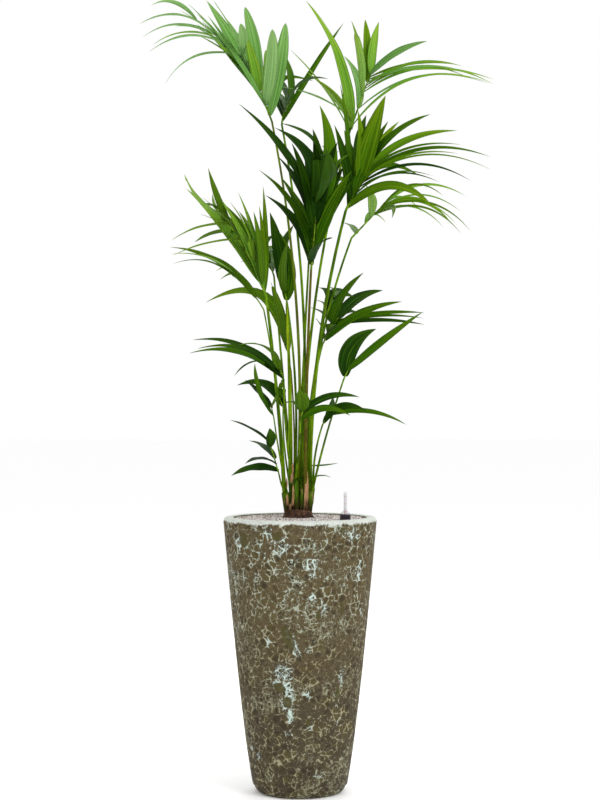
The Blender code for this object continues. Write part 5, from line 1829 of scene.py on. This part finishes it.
@dataclass
class GravelBed:
    """Fine mixed gravel over the substrate."""

    radius: float = 0.1535
    spacing: float = 0.0038
    least: float = 0.0015
    most: float = 0.0025
    clear_round_gauge: float = 0.0150
    sides: int = 96
    densest: float = 90000.0
    seed: int = 4

    def tree(self, gauge: tuple[float, float, float]) -> GeometryBuilder:
        """Builds the tree that strews grains over the bed and gives each a tone.

        Args:
            gauge: Where the water gauge leaves the gravel.

        Returns:
            The builder of the tree.
        """
        build = GeometryBuilder("gravel_grains", {
            "Spacing": self.spacing, "Least": self.least, "Most": self.most, "Gauge": gauge,
            "Clear": self.clear_round_gauge, "Seed": self.seed})
        strewn = build.add("GeometryNodeDistributePointsOnFaces", {
            "Mesh": build.given["Geometry"], "Distance Min": build.given["Spacing"],
            "Density Max": self.densest, "Seed": build.given["Seed"]}, distribute_method="POISSON").outputs[0]
        place = build.add("GeometryNodeInputPosition").outputs[0]
        gap = build.vector("DISTANCE", place, build.given["Gauge"]).node.outputs["Value"]
        inputs = {0: gap, 1: build.given["Clear"]}
        near = build.add("FunctionNodeCompare", inputs, data_type="FLOAT", operation="LESS_THAN").outputs[0]
        inputs = {"Geometry": strewn, "Selection": near}
        kept = build.add("GeometryNodeDeleteGeometry", inputs, domain="POINT").outputs[0]
        inputs = {"Geometry": kept, "Name": "tone", "Value": build.random(0.0, 1.0, 9)}
        toned = build.add(
            "GeometryNodeStoreNamedAttribute", inputs, data_type="FLOAT", domain="POINT").outputs[0]
        grain = build.add("GeometryNodeMeshIcoSphere", {"Radius": 1.0, "Subdivisions": 1}).outputs["Mesh"]
        inputs = {0: (0.0, 0.0, 0.0), 1: (math.tau,) * 3, "Seed": 6}
        turn = build.add("FunctionNodeRandomValue", inputs, data_type="FLOAT_VECTOR").outputs[0]
        long = build.random(self.least, self.most, 7)
        wide = build.times(long, build.random(0.75, 1.25, 8))
        flat = build.times(long, build.random(0.6, 0.9, 10))
        scale = build.add("ShaderNodeCombineXYZ", {0: long, 1: wide, 2: flat}).outputs[0]
        return build.finish(build.add("GeometryNodeInstanceOnPoints", {
            "Points": toned, "Instance": grain, "Rotation": turn, "Scale": scale}).outputs[0])

    def make(self, nodes: dict[str, Object]) -> None:
        """Strews the grains, and dresses the packed gravel and substrate.

        Args:
            nodes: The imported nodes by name.
        """
        finish = GrainFinish("gravel_grains", (
            (0.0, (0.56, 0.52, 0.49)), (0.24, (0.36, 0.30, 0.28)), (0.36, (0.70, 0.67, 0.64)),
            (0.56, (0.17, 0.13, 0.12)), (0.66, (0.47, 0.38, 0.34)), (0.76, (0.78, 0.76, 0.73)),
            (0.92, (0.08, 0.06, 0.06)))).make()
        bed = [(self.radius * math.cos(a), self.radius * math.sin(a), GRAVEL_TOP)
               for a in np.linspace(0.0, math.tau, self.sides, endpoint=False)]
        mesh = bpy.data.meshes.new("gravel_bed")
        mesh.from_pydata(bed, [], [tuple(range(self.sides))])
        low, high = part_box("gauge_sleeve")
        centre = (low + high) / 2
        piece = grown("gravel_grains", mesh, self.tree((centre.x, centre.y, GRAVEL_TOP)), finish)
        shown(piece, "gravel")
        under = EarthFinish("gravel_bed", (0.16, 0.12, 0.10), (0.46, 0.39, 0.35), 420.0).make()
        dressed(nodes["gravel_layer"], under)
        substrate = EarthFinish("substrate", (0.016, 0.010, 0.007), (0.060, 0.040, 0.026), 260.0).make()
        dressed(nodes["growing_substrate"], substrate)


@dataclass
class RootMound:
    """The fibrous root mound that the canes grow from, in two lobes, with roots running off it."""

    half_width: float = 0.0365
    half_depth: float = 0.032
    rings: int = 26
    sides: int = 72
    fibres: int = 320
    fibre_rings: int = 9
    lump: float = 0.0075
    lump_scale: float = 118.0
    saddle: float = 0.0022
    seed: int = 17

    def crown(self, across: float, along: float) -> float:
        """Height of the mound's skin.

        Args:
            across: Share of the half width from the centre, to the right.
            along: Share of the half depth from the centre, to the back.

        Returns:
            Height above the gravel in metres.
        """
        away = math.hypot(across, along)
        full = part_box("root_mound")[1].z - GRAVEL_TOP
        height = full * max(0.0, 1.0 - away ** 8.0)
        saddle = self.saddle * math.exp(-((across + 0.12) / 0.16) ** 2) * (1.0 if along < 0.2 else 0.4)
        place = Vector((across * self.half_width, along * self.half_depth, 0.0)) * self.lump_scale
        rough = noise.noise(place) * 0.7 + noise.noise(place * 2.7) * 0.3
        return max(0.0, height - saddle + rough * self.lump * min(1.0, (1.0 - away) * 4.0))

    def point(self, across: float, along: float, lift: float = 0.0) -> Vector:
        """A point on the skin, or lift above it."""
        x, y = MOUND_CENTRE
        return Vector((x + self.half_width * across, y + self.half_depth * along,
                       GRAVEL_TOP + GAP + self.crown(across, along) + lift))

    def skin(self, finish: Material) -> Object:
        """The mound's own closed mesh."""
        verts = []
        for ring in range(self.rings):
            share = 1.0 - ring / self.rings
            for i in range(self.sides):
                angle = math.tau * i / self.sides
                swell = 1.0 + 0.04 * math.sin(3 * angle) + 0.03 * math.sin(7 * angle + 1)
                verts.append(self.point(share * swell * math.cos(angle), share * swell * math.sin(angle)))
        verts.append(self.point(0.0, 0.0))
        faces = ring_faces(self.rings, self.sides)
        faces += fan_faces(self.sides, (self.rings - 1) * self.sides, len(verts) - 1)
        faces.append(tuple(range(self.sides))[::-1])
        return placed("root_mound_skin", verts, faces, [finish])

    def fibre(self, luck: random.Random) -> Limb:
        """One root: out over the mound and down to the gravel."""
        angle = luck.uniform(0.0, math.tau)
        start = luck.uniform(0.15, 0.75)
        far = luck.uniform(0.85, 1.12)
        turn = luck.uniform(-0.9, 0.9)
        path = []
        for share in shares(self.fibre_rings):
            away = start + (far - start) * share
            bearing = angle + turn * share + 0.15 * math.sin(5 * share + angle)
            lift = 0.0014 * math.sin(math.pi * share) * luck.uniform(0.2, 1.6)
            path.append(self.point(away * math.cos(bearing), away * math.sin(bearing), lift))
        thick = luck.uniform(0.0005, 0.0012)
        return Limb(path, [thick * (1.0 - 0.5 * share) for share in shares(self.fibre_rings)])

    def make(self) -> None:
        """Builds mound and roots and dresses them."""
        luck = random.Random(self.seed)
        earth = EarthFinish("root_fibre", (0.010, 0.004, 0.002), (0.050, 0.020, 0.009), 300.0, 0.002).make()
        shown(self.skin(earth), "root_fibre", "root_mound")
        root = EarthFinish("root_threads", (0.016, 0.006, 0.003), (0.180, 0.080, 0.034), 160.0, 0.0006).make()
        roots = [self.fibre(luck) for _ in range(self.fibres)]
        shown(LimbSkin(sides=6, relief=0.0002).make("root_threads", roots, root), "root_fibre")


@dataclass
class WaterGauge:
    """The water gauge: a ribbed dark sleeve, a clear tube with two marks, and a red float."""

    ribs: int = 28
    rib_radius: float = 0.0005
    segments: int = 48
    tube_radius: float = 0.0040
    bore: float = 0.0031
    edge: float = 0.001
    shoulder: float = 0.008
    chamfer: float = 0.0003
    collar: float = 0.0035
    mark_heights: tuple[float, float] = (0.0250, 0.0410)
    mark_radius: float = 0.0023

    def __post_init__(self) -> None:
        """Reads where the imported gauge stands."""
        self.low, self.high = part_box("gauge_sleeve")
        self.centre = ((self.low.x + self.high.x) / 2, (self.low.y + self.high.y) / 2)
        self.wide = (self.high.x - self.low.x) / 2
        self.core = self.wide - 0.5 * self.rib_radius

    def rib_tree(self) -> GeometryBuilder:
        """Builds the tree that stands grip ribs in a ring."""
        build = GeometryBuilder("grip_ribs", {
            "Ribs": self.ribs, "Ring": self.core, "Rib radius": self.rib_radius,
            "Length": self.high.z - 0.0034 - GRAVEL_TOP, "Foot": (*self.centre, GRAVEL_TOP)})
        inputs = {"Resolution": build.given["Ribs"], "Radius": build.given["Ring"]}
        ring = build.add("GeometryNodeCurvePrimitiveCircle", inputs).outputs[0]
        top = build.add("ShaderNodeCombineXYZ", {2: build.given["Length"]}).outputs[0]
        line = build.add("GeometryNodeCurvePrimitiveLine", {"End": top}).outputs[0]
        inputs = {"Resolution": 8, "Radius": build.given["Rib radius"]}
        rib = build.swept(line, build.add("GeometryNodeCurvePrimitiveCircle", inputs).outputs[0])
        stood = build.add("GeometryNodeInstanceOnPoints", {"Points": ring, "Instance": rib}).outputs[0]
        inputs = {"Geometry": stood, "Translation": build.given["Foot"]}
        return build.finish(build.add("GeometryNodeTransform", inputs).outputs[0])

    def make(self) -> None:
        """Builds the gauge and dresses it."""
        self.sleeve(PlasticFinish("gauge_black", (0.020, 0.012, 0.022), 0.36).make())
        self.tube(PlasticFinish("gauge_clear", (0.60, 0.60, 0.64), 0.12, 0.20, 0.38).make())
        self.bobber(PlasticFinish("float_red", (0.60, 0.030, 0.020), 0.30).make())
        self.marks(PlasticFinish("gauge_marks", (0.80, 0.42, 0.02), 0.45).make())

    def sleeve(self, black: Material) -> None:
        """The dark sleeve with its grip ribs."""
        low, high, wide = self.low, self.high, self.wide
        body = turned("gauge_sleeve_body", [
            (0.0, low.z), (self.core, low.z), (self.core, high.z - self.collar), (wide, high.z - 0.0032),
            (wide, high.z - self.edge), (wide - self.chamfer, high.z - self.chamfer),
            (wide - self.edge, high.z), (0.0, high.z)], self.segments, black, self.centre)
        shown(body, "gauge_black", "gauge_sleeve")
        ribs = grown("gauge_grip_ribs", bpy.data.meshes.new("rib_seed"), self.rib_tree(), black)
        shown(ribs, "gauge_black")

    def tube(self, clear: Material) -> None:
        """The clear tube, with a foot that widens to the sleeve, a dome on top, and open underneath."""
        low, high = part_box("gauge_tube")
        foot, top = low.z, high.z
        ceiling = top - self.tube_radius
        dome = [(self.tube_radius * math.cos(a), ceiling + self.tube_radius * math.sin(a))
                for a in np.linspace(0.0, math.pi / 2, 9)[:-1]]
        skirt, slope = self.wide - self.edge, foot + self.shoulder
        shell = [
            (self.bore, foot), (skirt, foot), (skirt, foot + 0.0012),
            (self.tube_radius + 2 * self.edge, slope - 0.001), (self.tube_radius + self.edge, slope),
            (self.tube_radius, slope + self.edge), *dome, (0.0, top)]
        hollow = [
            (0.0, ceiling), (self.bore * 0.7, ceiling - self.chamfer), (self.bore, ceiling - self.edge),
            (self.bore, foot)]
        shown(self.hollow_turned("gauge_clear_tube", shell, hollow, clear), "gauge_clear", "gauge_tube")

    def bobber(self, red: Material) -> None:
        """The red float in the tube."""
        low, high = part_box("gauge_float")
        radius = (high.x - low.x) / 2
        body = turned("gauge_float_body", [
            (0.0, low.z), (radius * 0.8, low.z), (radius, low.z + 0.0006), (radius, high.z - 0.0012),
            (radius * 0.7, high.z - self.chamfer), (0.0, high.z)], self.segments // 2, red, self.centre)
        shown(body, "float_red", "gauge_float")

    def marks(self, yellow: Material) -> None:
        """The two marks of least and most water, in the tube."""
        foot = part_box("gauge_tube")[0].z
        for name, height in zip(("gauge_mark_low", "gauge_mark_high"), self.mark_heights):
            z = foot + height
            wide = self.mark_radius
            bead = [(0.0, z), (wide, z + self.chamfer), (wide, z + 0.0017), (0.0, z + 0.0020)]
            shown(turned(name, bead, self.segments // 2, yellow, self.centre), "float_red")

    def hollow_turned(self, name: str, shell: Profile, hollow: Profile, finish: Material) -> Object:
        """Turns a tube that is open underneath.

        Args:
            name: Name of the piece.
            shell: Radius and height from the foot's inner edge, up the outside, to the axis on top.
            hollow: The same from the axis inside, down to the foot's inner edge.
            finish: The material.

        Returns:
            The piece.
        """
        x, y = self.centre
        angles = np.linspace(0.0, math.tau, self.segments, endpoint=False)
        rings = [*shell[:-1], *hollow[1:-1]]
        verts = [(x + r * math.cos(a), y + r * math.sin(a), z) for r, z in rings for a in angles]
        top, inner = len(verts), len(verts) + 1
        verts += [(x, y, shell[-1][1]), (x, y, hollow[0][1])]
        outside = len(shell) - 1
        faces = ring_faces(outside, self.segments)
        last = (outside - 1) * self.segments
        first = outside * self.segments
        end = (len(rings) - 1) * self.segments
        for i in range(self.segments):
            after = (i + 1) % self.segments
            faces.append((last + i, last + after, top))
            faces.append((inner, first + after, first + i))
            faces.append((end + i, end + after, after, i))
        faces += ring_faces(len(rings) - outside, self.segments, first)
        return placed(name, verts, faces, [finish])


@dataclass
class Studio:
    """Plain pale floor, soft light and the camera."""

    floor_half: float = 40.0
    distance: float = 4.5
    eye: float = 0.9385
    lens: float = 84.28
    sensor: float = 36.0
    world: Colour = (1.0, 1.0, 1.0)

    def light(self, name: str, place: tuple[float, float, float], aim: tuple[float, float, float],
              size: float, power: float) -> None:
        """Hangs a soft square light.

        Args:
            name: Its name.
            place: Where it hangs.
            aim: Where it points.
            size: Length of its side.
            power: Its power in watts.
        """
        lamp = bpy.data.lights.new(name, "AREA")
        lamp.shape = "SQUARE"
        lamp.size = size
        lamp.energy = power
        hung = bpy.data.objects.new(name, lamp)
        hung.location = place
        hung.rotation_mode = "QUATERNION"
        hung.rotation_quaternion = (Vector(aim) - Vector(place)).to_track_quat("-Z", "Y")
        bpy.context.scene.collection.objects.link(hung)

    def make(self) -> None:
        """Lays the floor, hangs the lights and stands the camera."""
        half = self.floor_half
        corners = [(-half, -half, 0.0), (half, -half, 0.0), (half, half, 0.0), (-half, half, 0.0)]
        floor = placed("studio_floor", corners, [(0, 1, 2, 3)], [FloorFinish().make()])
        world = bpy.data.worlds.new("studio")
        world.use_nodes = True
        sky = world.node_tree.nodes["Background"].inputs
        sky["Color"].default_value = (*self.world, 1.0)
        sky["Strength"].default_value = 1.0
        bpy.context.scene.world = world
        self.light("key_light", (2.8, -3.2, 3.6), (0.0, 0.0, 1.0), 2.4, 110.0)
        self.light("fill_light", (-3.4, -2.6, 2.6), (0.0, 0.0, 0.9), 2.6, 20.0)
        self.light("back_light", (0.6, 3.6, 3.8), (0.0, 0.0, 1.3), 2.6, 60.0)
        lens = bpy.data.cameras.new("camera")
        lens.sensor_width = self.sensor
        lens.lens = self.lens
        camera = bpy.data.objects.new("camera", lens)
        camera.location = (0.0, -self.distance, self.eye)
        camera.rotation_euler = (math.radians(90.0), 0.0, 0.0)
        bpy.context.scene.collection.objects.link(camera)
        bpy.context.scene.camera = camera
        bpy.context.scene.view_settings.view_transform = "Standard"


def main() -> None:
    """Builds every piece of the palm and its planter."""
    logging.basicConfig(level=logging.INFO, format="%(message)s")
    nodes = FRAME["nodes"]
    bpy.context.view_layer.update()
    Studio().make()
    Planter().make()
    GravelBed().make(nodes)
    RootMound().make()
    WaterGauge().make()
    Canes().make()
    LeafStalks().make()
    SpearLeaf().make()
    DriedSheaths().make()
    Fronds().make(nodes)


if __name__ == "__main__":
    main()
